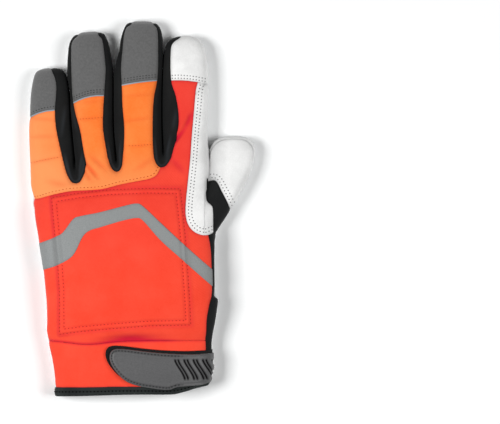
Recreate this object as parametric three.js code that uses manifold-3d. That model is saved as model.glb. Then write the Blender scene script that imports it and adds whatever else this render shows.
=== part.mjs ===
// A left-hand chainsaw glove, lying palm down with its back up, fingers towards +Y and thumb towards +X.
// The origin is on the face that the palm lies on, under the middle of the knuckles' width. Millimetres, +Z up.
//
// Palm, fingers and thumb are lofted tubes. Their union is the outside of the glove, the same tubes drawn in
// by the wall are the hollow, and the wall between them is cut along the seams into the sewn pieces.
import * as THREE from "three";
import { mergeVertices } from "three/addons/utils/BufferGeometryUtils.js";
import Module from "manifold-3d";

const wasm = await Module();
wasm.setup();

// Driving dimensions
const WALL = 2; // cloth or leather with its lining
const SEAM_GAP = 0.3; // between two pieces that are sewn edge to edge
const SEAM_HEIGHT = 4.4; // where the back's pieces meet the palm leather, above the floor
const FINGER_GAP = 0.7; // between the roots of two fingers
const BACK_LENGTH = 148.7; // from the hem to the line of the knuckles' crotches
const CUFF_LENGTH = 35.7; // from the hem to the wrist seam
const HEEL_REACH = 70.7; // from the origin back to the hem
const PALM_HEIGHT = 30;
const HEM_WIDTH = 5.6;
const HEM_STAND = 0.8; // how far the binding stands proud of the cuff
const HEM_LIP = 0.4; // and how far it laps inside
const PINKY_WIDTH = 30;
const RING_WIDTH = 30;
const MIDDLE_WIDTH = 33;
const INDEX_WIDTH = 32;
const PINKY_LENGTH = 75.4;
const RING_LENGTH = 102.2;
const MIDDLE_LENGTH = 104.3;
const INDEX_LENGTH = 94.2;
const PINKY_HEIGHT = 19;
const RING_HEIGHT = 20.5;
const MIDDLE_HEIGHT = 21.5;
const INDEX_HEIGHT = 20.5;
const THUMB_LENGTH = 76.3;
const THUMB_WIDTH = 32;
const THUMB_HEIGHT = 19;
const THUMB_GAP = 0.9; // between the thumb and the side of the index finger
const PINKY_CAP = 33; // fingertip caps, each from the tip to its lower edge
const RING_CAP = 48;
const MIDDLE_CAP = 43.5;
const INDEX_CAP = 31.5;
const STRIPE_THICK = 0.5;
const BACKING_THICK = 1.2;
const VENT_TUCK = 7; // how far the black side edge reaches in under its upper edge
const TAB_THICK = 1.8;
const TAB_LENGTH = 71; // from the tab's free end to the thumb side
const TAB_WIDTH = 26;
const TAB_SETBACK = 27.7; // from the hem up to the tab's upper edge at the thumb side
const TAB_FOOT = 4.2; // height above the floor where the strap's end turns under the thumb side
const BACKING_MARGIN = 2.8; // how far the backing shows past the tab's free end
const BACKING_RISE = 1.8; // and above its upper edge
const CAP_BOW = 1.5; // bow of a cap's lower edge
const RIB_COUNT = 5;
const RIB_PITCH = 7;
const RIB_WIDTH = 2.4;
const RIB_DEPTH = 0.8;
const RIB_LEAN = 0.5; // sideways run of a rib for each unit along it

// Counts that set how finely the tubes are faceted
const FINGER_SIDES = 14;
const PALM_SIDES = 32;
const FACET_TOLERANCE = 0.04; // of a cut surface, when its needle-thin facets are merged
const TIP_EASE = 0.85; // share of a finger's length where its tip starts to round
const TALLEST = 80; // of a cutter, well above the glove

const FLEECE_BLACK = new THREE.MeshStandardMaterial({ color: 0x1b1c1e, roughness: 0.9 });
const HI_VIS_RED = new THREE.MeshStandardMaterial({ color: 0xf84a36, roughness: 0.8 });
const HI_VIS_ORANGE = new THREE.MeshStandardMaterial({ color: 0xff8a3e, roughness: 0.8 });
const GREY_SUEDE = new THREE.MeshStandardMaterial({ color: 0x6e6e6e, roughness: 0.9 });
const GOATSKIN = new THREE.MeshStandardMaterial({ color: 0xe8e8e6, roughness: 0.6 });
const REFLECTIVE_GREY = new THREE.MeshStandardMaterial({ color: 0x8f9493, roughness: 0.4 });
const MOULDED_GREY = new THREE.MeshStandardMaterial({ color: 0x5f5f60, roughness: 0.5 });

// The fingers stand side by side, so their root widths add up to the width of the knuckles.
const ROOT_SHARE = { pinky: 1.05, ring: 0.934, middle: 0.95, index: 0.962 };
const ROOT_WIDTHS = [
  PINKY_WIDTH * ROOT_SHARE.pinky,
  RING_WIDTH * ROOT_SHARE.ring,
  MIDDLE_WIDTH * ROOT_SHARE.middle,
  INDEX_WIDTH * ROOT_SHARE.index,
];
const KNUCKLE_WIDTH = ROOT_WIDTHS.reduce((sum, width) => sum + width + FINGER_GAP, -FINGER_GAP);
const rootCentre = (finger) =>
  ROOT_WIDTHS.slice(0, finger).reduce((sum, width) => sum + width + FINGER_GAP, -KNUCKLE_WIDTH / 2) +
  ROOT_WIDTHS[finger] / 2;

// Palm sections: along is a share of the back's length from the hem, left, right and tilt are shares of the
// knuckles' width, and top is a share of the palm's height. The last rows are the nose between the fingers.
const PALM_ROWS = [
  { along: 0, left: -0.359, right: 0.499, tilt: 0.03, top: 0.73 },
  { along: 0.085, left: -0.365, right: 0.522, tilt: 0.016, top: 0.77 },
  { along: 0.166, left: -0.381, right: 0.522, tilt: 0.008, top: 0.77 },
  { along: 0.24, left: -0.402, right: 0.523, tilt: 0, top: 0.79 },
  { along: 0.341, left: -0.4065, right: 0.542, tilt: 0, top: 0.9 },
  { along: 0.428, left: -0.41, right: 0.548, tilt: 0, top: 0.97 },
  { along: 0.57, left: -0.4275, right: 0.541, tilt: 0, top: 1 },
  { along: 0.711, left: -0.454, right: 0.538, tilt: 0, top: 1 },
  { along: 0.839, left: -0.476, right: 0.53, tilt: 0.02, top: 0.95 },
  { along: 0.919, left: -0.487, right: 0.505, tilt: 0.05, top: 0.87 },
  { along: 1, left: -0.496, right: 0.496, tilt: 0.08, top: 0.78 },
  { along: 1.05, left: -0.49, right: 0.48, tilt: 0.08, top: 0.6 },
  { along: 1.09, left: -0.47, right: 0.46, tilt: 0.08, top: 0.36 },
];

// Finger sections: at is a share of the length from the root, centre and half are shares of the width and
// top is a share of the height. The rows below 0 run on inside the palm.
const PINKY_ROWS = [
  { at: -0.25, centre: -0.01, half: 0.5, top: 0.95 },
  { at: 0, centre: 0, half: 0.525, top: 1.06 },
  { at: 0.233, centre: -0.012, half: 0.513, top: 1.03 },
  { at: 0.419, centre: -0.014, half: 0.495, top: 1 },
  { at: 0.605, centre: 0.005, half: 0.471, top: 0.97 },
  { at: 0.79, centre: 0.033, half: 0.439, top: 0.93 },
  { at: 0.92, centre: 0.055, half: 0.38, top: 0.8 },
  { at: 0.975, centre: 0.05, half: 0.3, top: 0.62 },
  { at: 1, centre: 0.04, half: 0.15, top: 0.46 },
];
const RING_ROWS = [
  { at: -0.2, centre: 0, half: 0.443, top: 0.85 },
  { at: 0, centre: 0, half: 0.467, top: 1.1 },
  { at: 0.185, centre: -0.021, half: 0.464, top: 1.06 },
  { at: 0.323, centre: -0.037, half: 0.467, top: 1.02 },
  { at: 0.46, centre: -0.03, half: 0.481, top: 1 },
  { at: 0.597, centre: -0.019, half: 0.495, top: 0.98 },
  { at: 0.721, centre: -0.035, half: 0.513, top: 0.95 },
  { at: 0.872, centre: -0.007, half: 0.485, top: 0.88 },
  { at: 0.94, centre: -0.007, half: 0.427, top: 0.76 },
  { at: 0.98, centre: 0.01, half: 0.33, top: 0.62 },
  { at: 1, centre: 0.02, half: 0.18, top: 0.46 },
];
const MIDDLE_ROWS = [
  { at: -0.2, centre: 0, half: 0.44, top: 0.85 },
  { at: 0, centre: 0.01, half: 0.475, top: 1.1 },
  { at: 0.134, centre: -0.013, half: 0.488, top: 1.07 },
  { at: 0.268, centre: -0.047, half: 0.497, top: 1.03 },
  { at: 0.47, centre: -0.057, half: 0.498, top: 1 },
  { at: 0.604, centre: -0.049, half: 0.495, top: 0.98 },
  { at: 0.738, centre: -0.015, half: 0.477, top: 0.94 },
  { at: 0.872, centre: 0.006, half: 0.441, top: 0.87 },
  { at: 0.94, centre: 0.013, half: 0.392, top: 0.76 },
  { at: 0.98, centre: 0.01, half: 0.3, top: 0.62 },
  { at: 1, centre: 0, half: 0.18, top: 0.46 },
];
const INDEX_ROWS = [
  { at: -0.2, centre: -0.02, half: 0.44, top: 0.85 },
  { at: 0, centre: 0, half: 0.481, top: 1.1 },
  { at: 0.149, centre: -0.01, half: 0.488, top: 1.07 },
  { at: 0.297, centre: -0.025, half: 0.497, top: 1.03 },
  { at: 0.52, centre: -0.03, half: 0.503, top: 1 },
  { at: 0.743, centre: -0.026, half: 0.497, top: 0.96 },
  { at: 0.892, centre: -0.033, half: 0.466, top: 0.87 },
  { at: 0.95, centre: -0.025, half: 0.4, top: 0.75 },
  { at: 0.98, centre: -0.005, half: 0.31, top: 0.6 },
  { at: 1, centre: 0.01, half: 0.15, top: 0.46 },
];

// Thumb sections: at is a share of its length from inside the palm, left and right are shares of its width
// from the side of the index finger, top is a share of its height.
const THUMB_ROWS = [
  { at: 0, left: -0.46, right: -0.044, top: 0.8 },
  { at: 0.119, left: -0.416, right: 0.142, top: 0.88 },
  { at: 0.229, left: -0.328, right: 0.317, top: 0.93 },
  { at: 0.349, left: -0.197, right: 0.499, top: 0.97 },
  { at: 0.459, left: -0.066, right: 0.66, top: 1 },
  { at: 0.56, left: 0, right: 0.785, top: 1 },
  { at: 0.65, left: 0, right: 0.882, top: 1 },
  { at: 0.76, left: 0, right: 0.963, top: 0.98 },
  { at: 0.862, left: 0.002, right: 1.0, top: 0.92 },
  { at: 0.927, left: 0.09, right: 0.955, top: 0.8 },
  { at: 0.975, left: 0.2, right: 0.88, top: 0.64 },
  { at: 1, left: 0.36, right: 0.72, top: 0.48 },
];

// Where a finger's back panel ends and the black side wall starts, from the root to the tip: at is a share
// of the finger's length, edge a share of its width from its straight axis.
const PINKY_RIGHT = [
  { at: 0.05, edge: 0.334 },
  { at: 0.14, edge: 0.266 },
  { at: 0.3, edge: 0.19 },
  { at: 0.46, edge: 0.138 },
  { at: 0.62, edge: 0.146 },
  { at: 0.8, edge: 0.205 },
  { at: 0.9, edge: 0.18 },
  { at: 1, edge: 0.09 },
];
const RING_LEFT = [
  { at: 0.05, edge: -0.24 },
  { at: 0.185, edge: -0.264 },
  { at: 0.323, edge: -0.317 },
  { at: 0.46, edge: -0.418 },
  { at: 0.597, edge: -0.455 },
  { at: 0.872, edge: -0.422 },
  { at: 0.945, edge: -0.37 },
  { at: 1, edge: -0.12 },
];
const RING_RIGHT = [
  { at: 0.09, edge: 0.366 },
  { at: 0.185, edge: 0.268 },
  { at: 0.323, edge: 0.224 },
  { at: 0.46, edge: 0.254 },
  { at: 0.597, edge: 0.308 },
  { at: 0.8, edge: 0.355 },
  { at: 0.93, edge: 0.335 },
  { at: 1, edge: 0.19 },
];
const MIDDLE_LEFT = [
  { at: 0.06, edge: -0.375 },
  { at: 0.15, edge: -0.342 },
  { at: 0.268, edge: -0.335 },
  { at: 0.47, edge: -0.382 },
  { at: 0.738, edge: -0.397 },
  { at: 0.872, edge: -0.38 },
  { at: 0.95, edge: -0.325 },
  { at: 1, edge: -0.17 },
];
const MIDDLE_RIGHT = [
  { at: 0.05, edge: 0.36 },
  { at: 0.134, edge: 0.306 },
  { at: 0.268, edge: 0.269 },
  { at: 0.47, edge: 0.286 },
  { at: 0.62, edge: 0.363 },
  { at: 0.85, edge: 0.37 },
  { at: 0.95, edge: 0.335 },
  { at: 1, edge: 0.212 },
];
const INDEX_LEFT = [
  { at: 0.074, edge: -0.3085 },
  { at: 0.149, edge: -0.234 },
  { at: 0.297, edge: -0.173 },
  { at: 0.42, edge: -0.168 },
  { at: 0.55, edge: -0.235 },
  { at: 0.67, edge: -0.343 },
  { at: 0.892, edge: -0.357 },
  { at: 0.96, edge: -0.295 },
  { at: 1, edge: -0.13 },
];

// Crotches on the back, as shares of the back's length past the line of the crotches and of the knuckles' width.
const CROTCH_PINKY_RING = { across: -0.236, along: 0.978 };
const CROTCH_RING_MIDDLE = { across: -0.01, along: 1.035 };
const CROTCH_MIDDLE_INDEX = { across: 0.244, along: 1.048 };
const CROTCH_ROUND = 3.2; // half width of the rounded foot of each black gusset

// Seam lines on the back, as shares of the knuckles' width and of the back's length from the hem
const KNUCKLE_SEAM = [
  { across: -0.56, along: 0.895 },
  { across: -0.47, along: 0.905 },
  { across: -0.39, along: 0.921 },
  { across: -0.28, along: 0.94 },
  { across: -0.16, along: 0.945 },
  { across: -0.08, along: 0.952 },
  { across: 0.01, along: 0.972 },
  { across: 0.12, along: 0.989 },
  { across: 0.18, along: 1.0 },
  { across: 0.215, along: 1.018 },
  { across: 0.236, along: 1.05 },
];
const INDEX_WRAP_EDGE = [
  { across: 0.462, along: 1.462 },
  { across: 0.436, along: 1.38 },
  { across: 0.421, along: 1.28 },
  { across: 0.407, along: 1.17 },
  { across: 0.4, along: 1.08 },
  { across: 0.387, along: 0.98 },
  { across: 0.38, along: 0.88 },
  { across: 0.391, along: 0.81 },
  { across: 0.42, along: 0.765 },
  { across: 0.465, along: 0.739 },
  { across: 0.512, along: 0.733 },
  { across: 0.58, along: 0.75 },
];
const STRIPE_UPPER = [
  { across: -0.6, along: 0.662 },
  { across: -0.447, along: 0.697 },
  { across: -0.334, along: 0.734 },
  { across: -0.3, along: 0.757 },
  { across: -0.253, along: 0.809 },
  { across: -0.21, along: 0.823 },
  { across: -0.106, along: 0.84 },
  { across: 0.02, along: 0.867 },
  { across: 0.1, along: 0.881 },
  { across: 0.14, along: 0.867 },
  { across: 0.24, along: 0.79 },
  { across: 0.34, along: 0.712 },
  { across: 0.46, along: 0.622 },
  { across: 0.6, along: 0.52 },
];
const STRIPE_LOWER = [
  { across: -0.6, along: 0.54 },
  { across: -0.43, along: 0.571 },
  { across: -0.334, along: 0.597 },
  { across: -0.253, along: 0.64 },
  { across: -0.2, along: 0.725 },
  { across: -0.16, along: 0.755 },
  { across: -0.106, along: 0.769 },
  { across: 0.02, along: 0.8 },
  { across: 0.1, along: 0.813 },
  { across: 0.14, along: 0.8 },
  { across: 0.234, along: 0.712 },
  { across: 0.347, along: 0.627 },
  { across: 0.46, along: 0.543 },
  { across: 0.6, along: 0.44 },
];
const VENT_EDGE = [
  { across: 0.5, along: 0.76 },
  { across: 0.507, along: 0.73 },
  { across: 0.521, along: 0.66 },
  { across: 0.526, along: 0.56 },
  { across: 0.526, along: 0.46 },
  { across: 0.511, along: 0.405 },
  { across: 0.498, along: 0.345 },
  { across: 0.492, along: 0.27 },
  { across: 0.492, along: 0.18 },
];
const THUMB_GUSSET_LEFT = [
  { across: 0.499, along: 1.0 },
  { across: 0.498, along: 0.95 },
  { across: 0.502, along: 0.897 },
  { across: 0.525, along: 0.876 },
  { across: 0.536, along: 0.85 },
  { across: 0.54, along: 0.74 },
];
const THUMB_GUSSET_TOP = [
  { across: 0.49, along: 0.982 },
  { across: 0.51, along: 0.987 },
  { across: 0.533, along: 0.991 },
  { across: 0.557, along: 0.987 },
  { across: 0.585, along: 0.946 },
  { across: 0.61, along: 0.904 },
  { across: 0.63, along: 0.867 },
  { across: 0.68, along: 0.78 },
];
// The tab's outline, as shares of its length from the thumb side and of its width from its upper edge
const TAB_OUTLINE = [
  { from: -0.08, down: 0.12 },
  { from: 0.2, down: 0.06 },
  { from: 0.5, down: -0.04 },
  { from: 0.8, down: -0.17 },
  { from: 0.93, down: -0.18 },
  { from: 0.985, down: -0.12 },
  { from: 1, down: 0.0 },
  { from: 0.985, down: 0.17 },
  { from: 0.93, down: 0.4 },
  { from: 0.84, down: 0.62 },
  { from: 0.72, down: 0.81 },
  { from: 0.58, down: 0.91 },
  { from: 0.42, down: 0.95 },
  { from: 0.32, down: 0.88 },
  { from: 0.12, down: 0.83 },
  { from: 0.0, down: 0.74 },
  { from: -0.08, down: 0.7 },
];

// Value of one column at a share, on a smooth curve through the rows
function column(rows, by, name, share) {
  let k = rows.findIndex((row) => row[by] > share);
  if (k === -1) k = rows.length - 1;
  k = Math.max(1, k);
  const slope = (i) => {
    const a = rows[Math.max(0, i - 1)];
    const b = rows[Math.min(rows.length - 1, i + 1)];
    return (b[name] - a[name]) / (b[by] - a[by]);
  };
  const from = rows[k - 1];
  const to = rows[k];
  const span = to[by] - from[by];
  const t = Math.min(1, Math.max(0, (share - from[by]) / span));
  const t2 = t * t;
  const t3 = t2 * t;
  return (
    (2 * t3 - 3 * t2 + 1) * from[name] +
    (t3 - 2 * t2 + t) * span * slope(k - 1) +
    (3 * t2 - 2 * t3) * to[name] +
    (t3 - t2) * span * slope(k)
  );
}

// Section frames: the left and right ends in plan and the top, for one share along each tube

const backPoint = ({ across, along }, tilt = 0) =>
  new THREE.Vector2(across * KNUCKLE_WIDTH, along * BACK_LENGTH - HEEL_REACH + tilt * KNUCKLE_WIDTH);

const palmFrame = (along) => {
  const tilt = column(PALM_ROWS, "along", "tilt", along);
  return {
    left: backPoint({ across: column(PALM_ROWS, "along", "left", along), along }, -tilt),
    right: backPoint({ across: column(PALM_ROWS, "along", "right", along), along }, tilt),
    top: PALM_HEIGHT * column(PALM_ROWS, "along", "top", along),
  };
};

const FINGERS = [
  { name: "pinky", rows: PINKY_ROWS, length: PINKY_LENGTH, width: PINKY_WIDTH, height: PINKY_HEIGHT, lean: -3.46, root: 1.015 },
  { name: "ring", rows: RING_ROWS, length: RING_LENGTH, width: RING_WIDTH, height: RING_HEIGHT, lean: -3.53, root: 1.006 },
  { name: "middle", rows: MIDDLE_ROWS, length: MIDDLE_LENGTH, width: MIDDLE_WIDTH, height: MIDDLE_HEIGHT, lean: 0.38, root: 1.04 },
  { name: "index", rows: INDEX_ROWS, length: INDEX_LENGTH, width: INDEX_WIDTH, height: INDEX_HEIGHT, lean: 0.64, root: 1.04 },
];

FINGERS.forEach((finger, place) => {
  const angle = THREE.MathUtils.degToRad(finger.lean);
  finger.along = new THREE.Vector2(Math.sin(angle), Math.cos(angle));
  finger.side = new THREE.Vector2(Math.cos(angle), -Math.sin(angle));
  finger.base = new THREE.Vector2(rootCentre(place), finger.root * BACK_LENGTH - HEEL_REACH);
});

const fingerPoint = (finger, at, across) =>
  finger.base
    .clone()
    .addScaledVector(finger.along, at * finger.length)
    .addScaledVector(finger.side, across * finger.width);

const fingerFrame = (finger) => (at) => {
  const centre = column(finger.rows, "at", "centre", at);
  const half = column(finger.rows, "at", "half", at);
  return {
    left: fingerPoint(finger, at, centre - half),
    right: fingerPoint(finger, at, centre + half),
    top: finger.height * column(finger.rows, "at", "top", at),
  };
};

const THUMB_ROOT_Y = 0.687 * BACK_LENGTH - HEEL_REACH;
const thumbFrame = (at) => {
  const side = KNUCKLE_WIDTH / 2 + THUMB_GAP;
  const y = THUMB_ROOT_Y + at * THUMB_LENGTH;
  return {
    left: new THREE.Vector2(side + column(THUMB_ROWS, "at", "left", at) * THUMB_WIDTH, y),
    right: new THREE.Vector2(side + column(THUMB_ROWS, "at", "right", at) * THUMB_WIDTH, y),
    top: THUMB_HEIGHT * column(THUMB_ROWS, "at", "top", at),
  };
};

// One section of a tube: an ellipse-like ring with a full back and a flat underside, drawn in by inset
const EQUATOR = 0.42; // height of the widest line, as a share of the top
const BACK_ROUND = 2.4; // exponents of the section's curves: 2 is an ellipse, and more is fuller
const UNDER_ROUND = 4;
const FULLER = 7; // how much the exponent of the underside grows over the width of the knuckles
function sectionRing({ left, right, top }, inset, sides) {
  const span = right.clone().sub(left);
  const half = Math.max(span.length() / 2 - inset, 0.5);
  const side = span.clone().normalize();
  const fuller = span.length() / KNUCKLE_WIDTH;
  const centre = left.clone().add(right).multiplyScalar(0.5);
  const middle = top * EQUATOR;
  const floor = Math.max(inset, 0);
  const signed = (value, power) => Math.sign(value) * Math.abs(value) ** power;
  return Array.from({ length: sides }, (_, i) => {
    const angle = (i / sides) * 2 * Math.PI;
    const up = Math.sin(angle) >= 0;
    const power = 2 / (up ? BACK_ROUND + 0.6 * fuller : UNDER_ROUND + FULLER * fuller);
    const reach = half * signed(Math.cos(angle), power);
    const rise = (up ? top - inset - middle : middle - floor) * signed(Math.sin(angle), power);
    const spot = centre.clone().addScaledVector(side, reach);
    return [spot.x, spot.y, middle + rise];
  });
}

// A closed solid through rings of points, capped flat at both ends
function loft(rings) {
  const sides = rings[0].length;
  const points = rings.flat();
  const faces = [];
  for (let r = 0; r + 1 < rings.length; r += 1) {
    for (let i = 0; i < sides; i += 1) {
      const j = (i + 1) % sides;
      const a = r * sides + i;
      const b = r * sides + j;
      faces.push([a, b + sides, b], [a, a + sides, b + sides]);
    }
  }
  [0, rings.length - 1].forEach((r) => {
    const ring = rings[r];
    const centre = [0, 1, 2].map((k) => ring.reduce((sum, p) => sum + p[k], 0) / sides);
    const hub = points.push(centre) - 1;
    for (let i = 0; i < sides; i += 1) {
      const a = r * sides + i;
      const b = r * sides + ((i + 1) % sides);
      faces.push(r === 0 ? [hub, a, b] : [hub, b, a]);
    }
  });
  const solid = new wasm.Manifold(
    new wasm.Mesh({
      numProp: 3,
      vertProperties: new Float32Array(points.flat()),
      triVerts: new Uint32Array(faces.flat()),
    }),
  );
  return solid;
}

const shares = (rows, by) => rows.map((row) => row[by]);

// A tube through a table's rows. Its tip is drawn in along its length too, by moving back the rows past easeFrom.
function tubeRings(frame, places, inset, sides, length, easeFrom) {
  const last = places[places.length - 1];
  return places.map((at) => {
    const back = at > easeFrom ? (inset / length) * ((at - easeFrom) / (last - easeFrom)) : 0;
    const section = frame(at);
    const step = middleOf(frame(at - back)).sub(middleOf(section));
    const moved = { left: section.left.clone().add(step), right: section.right.clone().add(step), top: section.top };
    return sectionRing(moved, inset, sides);
  });
}
const middleOf = ({ left, right }) => left.clone().add(right).multiplyScalar(0.5);

// The whole glove as one solid, drawn in by inset or, with a negative one, grown
function gloveBody(inset, mouth = 0) {
  const palmPlaces = shares(PALM_ROWS, "along");
  palmPlaces.splice(1, 0, HEM_WIDTH / BACK_LENGTH);
  const rings = tubeRings(palmFrame, palmPlaces, inset, PALM_SIDES, BACK_LENGTH, 0.95);
  if (mouth) rings.unshift(rings[0].map(([x, y, z]) => [x, y - mouth, z]));
  const tubes = FINGERS.map((finger) =>
    tubeRings(fingerFrame(finger), shares(finger.rows, "at"), inset, FINGER_SIDES, finger.length, TIP_EASE),
  );
  tubes.push(tubeRings(thumbFrame, shares(THUMB_ROWS, "at"), inset, FINGER_SIDES, THUMB_LENGTH, TIP_EASE));
  return tubes.reduce((body, each) => body.add(loft(each)), loft(rings));
}

// A solid made from a three.js geometry
function solidOf(geometry) {
  const bare = geometry.index ? geometry.toNonIndexed() : geometry.clone();
  bare.deleteAttribute("normal");
  bare.deleteAttribute("uv");
  const merged = mergeVertices(bare, 1e-4);
  return new wasm.Manifold(
    new wasm.Mesh({
      numProp: 3,
      vertProperties: new Float32Array(merged.attributes.position.array),
      triVerts: new Uint32Array(merged.index.array),
    }),
  );
}

// An upright prism over a plan outline, from one height to another
function prism(outline, from = -TALLEST, to = TALLEST) {
  const shape = new THREE.Shape(outline);
  const geometry = new THREE.ExtrudeGeometry(shape, { depth: to - from, bevelEnabled: false });
  geometry.translate(0, 0, from);
  return solidOf(geometry);
}

// Points on a smooth curve through a few knots
const smooth = (knots, steps = 3) =>
  new THREE.SplineCurve(knots).getPoints((knots.length - 1) * steps);

// An outline moved outwards by a distance, along the mean normal at each point
function grown(outline, distance) {
  const turn = THREE.ShapeUtils.isClockWise(outline) ? -1 : 1;
  return outline.map((point, i) => {
    const before = outline[(i + outline.length - 1) % outline.length];
    const after = outline[(i + 1) % outline.length];
    const way = after.clone().sub(before).normalize();
    return new THREE.Vector2(point.x + way.y * distance * turn, point.y - way.x * distance * turn);
  });
}

const far = KNUCKLE_WIDTH * 1.2;
const plan = (x, y) => new THREE.Vector2(x, y);

// Plan outlines

// The black gusset between two fingers: down one panel's edge, round the crotch and up the other's
function gussetOutline(a, aEdge, b, bEdge, crotch) {
  const foot = backPoint(crotch);
  const down = [...aEdge].reverse().map((row) => fingerPoint(a, row.at, row.edge));
  const up = bEdge.map((row) => fingerPoint(b, row.at, row.edge));
  const bend = [
    plan(foot.x - CROTCH_ROUND, foot.y + CROTCH_ROUND),
    foot,
    plan(foot.x + CROTCH_ROUND, foot.y + CROTCH_ROUND),
  ];
  const line = smooth([...down, ...bend, ...up], 2);
  return [plan(line[0].x, far * 2), ...line, plan(line[line.length - 1].x, far * 2)];
}

const [PINKY, RING, MIDDLE, INDEX] = FINGERS;
const pinkyRingGusset = gussetOutline(PINKY, PINKY_RIGHT, RING, RING_LEFT, CROTCH_PINKY_RING);
const ringMiddleGusset = gussetOutline(RING, RING_RIGHT, MIDDLE, MIDDLE_LEFT, CROTCH_RING_MIDDLE);
const middleIndexGusset = gussetOutline(MIDDLE, MIDDLE_RIGHT, INDEX, INDEX_LEFT, CROTCH_MIDDLE_INDEX);

// A fingertip cap: all of the finger's width past the cap's lower edge, which slants by rise
// and bows by CAP_BOW in its middle. It reaches from one share of the finger's width to another.
function capOutline(finger, capLength, rise, from, to) {
  const at = 1 - capLength / finger.length;
  const low = [0, 0.25, 0.5, 0.75, 1].map((t) => {
    const across = from + t * (to - from);
    const bow = CAP_BOW * (1 - 4 * across * across);
    return fingerPoint(finger, at + (rise * finger.width * across + bow) / finger.length, across);
  });
  return [...low, fingerPoint(finger, 1.3, to), fingerPoint(finger, 1.3, from)];
}

// rise is the slant of the lower edge, and from and to are shares of the finger's width from its axis.
const CAPS = [
  { name: "cap_pinky", finger: PINKY, length: PINKY_CAP, rise: 0.23, from: -0.8, to: 0.4 },
  { name: "cap_ring", finger: RING, length: RING_CAP, rise: 0.25, from: -0.47, to: 0.45 },
  { name: "cap_middle", finger: MIDDLE, length: MIDDLE_CAP, rise: 0.18, from: -0.44, to: 0.45 },
  { name: "cap_index", finger: INDEX, length: INDEX_CAP, rise: -0.05, from: -0.44, to: 0.8 },
];

const bandOutline = (upper, lower) => [
  ...smooth(upper.map((row) => backPoint(row)), 2),
  ...smooth(lower.map((row) => backPoint(row)), 2).reverse(),
];

const knuckleOutline = [...smooth(KNUCKLE_SEAM.map((row) => backPoint(row)), 2), plan(backPoint(KNUCKLE_SEAM.at(-1)).x, far * 2), plan(-far, far * 2)];
const wrapLine = smooth(INDEX_WRAP_EDGE.map((row) => backPoint(row)), 2);
const wrapOutline = [plan(wrapLine[0].x + INDEX_WIDTH * 0.2, far * 2), ...wrapLine, plan(far, wrapLine.at(-1).y), plan(far, far * 2)];
const ventLine = smooth(VENT_EDGE.map((row) => backPoint(row)), 2);
const ventOutline = [...ventLine, plan(far, ventLine.at(-1).y), plan(far, ventLine[0].y)];
const wristLine = CUFF_LENGTH - HEEL_REACH;
const cuffOutline = [plan(-far, -far), plan(far, -far), plan(far, wristLine), plan(-far, wristLine)];
const hemEnd = palmFrame(HEM_WIDTH / BACK_LENGTH);
const hemOutline = [
  plan(-far, -far),
  plan(far, -far),
  plan(far, hemEnd.right.y + (hemEnd.right.y - hemEnd.left.y) * 0.5),
  plan(-far, hemEnd.left.y - (hemEnd.right.y - hemEnd.left.y) * 0.5),
];
const thumbSide = KNUCKLE_WIDTH / 2 + THUMB_GAP / 2;
const gussetTop = smooth(THUMB_GUSSET_TOP.map((row) => backPoint(row)), 2);
const thumbOutline = [
  plan(thumbSide, gussetTop[0].y),
  ...gussetTop.filter((point) => point.x > thumbSide + 0.5),
  plan(far, gussetTop.at(-1).y),
  plan(far, far),
  plan(thumbSide, far),
];
const thumbGussetLine = smooth(THUMB_GUSSET_LEFT.map((row) => backPoint(row)), 2);
const thumbGussetOutline = [...thumbGussetLine, plan(far, thumbGussetLine.at(-1).y), plan(far, thumbGussetLine[0].y)];
const stripeOutline = bandOutline(STRIPE_UPPER, STRIPE_LOWER);

const tabSide = backPoint({ across: 0.52, along: 0 }).x;
const tabUpper = TAB_SETBACK - HEEL_REACH;
const tabOutline = smooth(
  TAB_OUTLINE.map(({ from, down }) => plan(tabSide - from * TAB_LENGTH, tabUpper - down * TAB_WIDTH)),
  2,
);
const backingOutline = tabOutline.map((point) => plan(point.x - BACKING_MARGIN, point.y + BACKING_RISE));

// The wall of the glove, and the sewn pieces cut from it

const outside = gloveBody(0);
const hollow = gloveBody(WALL, HEEL_REACH);
const hemBand = prism(hemOutline);
const shell = outside.subtract(hollow).subtract(prism(grown(hemOutline, SEAM_GAP)));
const everywhere = [plan(-far * 2, -far * 2), plan(far * 2, -far * 2), plan(far * 2, far * 2), plan(-far * 2, far * 2)];
const below = prism(everywhere, -TALLEST, SEAM_HEIGHT);
const above = prism(everywhere, SEAM_HEIGHT + SEAM_GAP, TALLEST);

const pieces = new Map();
let left = shell.intersect(above);

// Takes what lies over an outline out of the back that is left, and leaves a seam round it. Below the widest
// line of the hand the side turns in again, so a piece there can be tucked further in than its outline.
function take(name, outline, tuck = 0) {
  const cutter = (gap) => {
    const top = prism(grown(outline, gap));
    return tuck ? top.add(prism(grown(outline, tuck + gap), -TALLEST, PALM_HEIGHT * EQUATOR)) : top;
  };
  pieces.set(name, left.intersect(cutter(0)));
  left = left.subtract(cutter(SEAM_GAP));
}

pieces.set("thumb_leather", shell.intersect(prism(thumbOutline)));
const thumbCut = prism(grown(thumbOutline, SEAM_GAP));
left = left.subtract(thumbCut);
pieces.set("palm_leather", shell.intersect(below).subtract(thumbCut));
take("thumb_gusset", thumbGussetOutline);
take("gusset_pinky_ring", pinkyRingGusset);
take("gusset_ring_middle", ringMiddleGusset);
take("gusset_middle_index", middleIndexGusset);
for (const { name, finger, length, rise, from, to } of CAPS) take(name, capOutline(finger, length, rise, from, to));
take("index_side_leather", wrapOutline);
take("knuckle_panel", knuckleOutline);
take("side_vent", ventOutline, VENT_TUCK);
take("cuff_panel", cuffOutline);
pieces.set("back_panel", left);

// The hem is a folded binding, so it stands proud of the cuff on both sides.
pieces.set("hem_binding", gloveBody(-HEM_STAND).subtract(gloveBody(WALL + HEM_LIP, HEEL_REACH)).intersect(hemBand));

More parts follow.
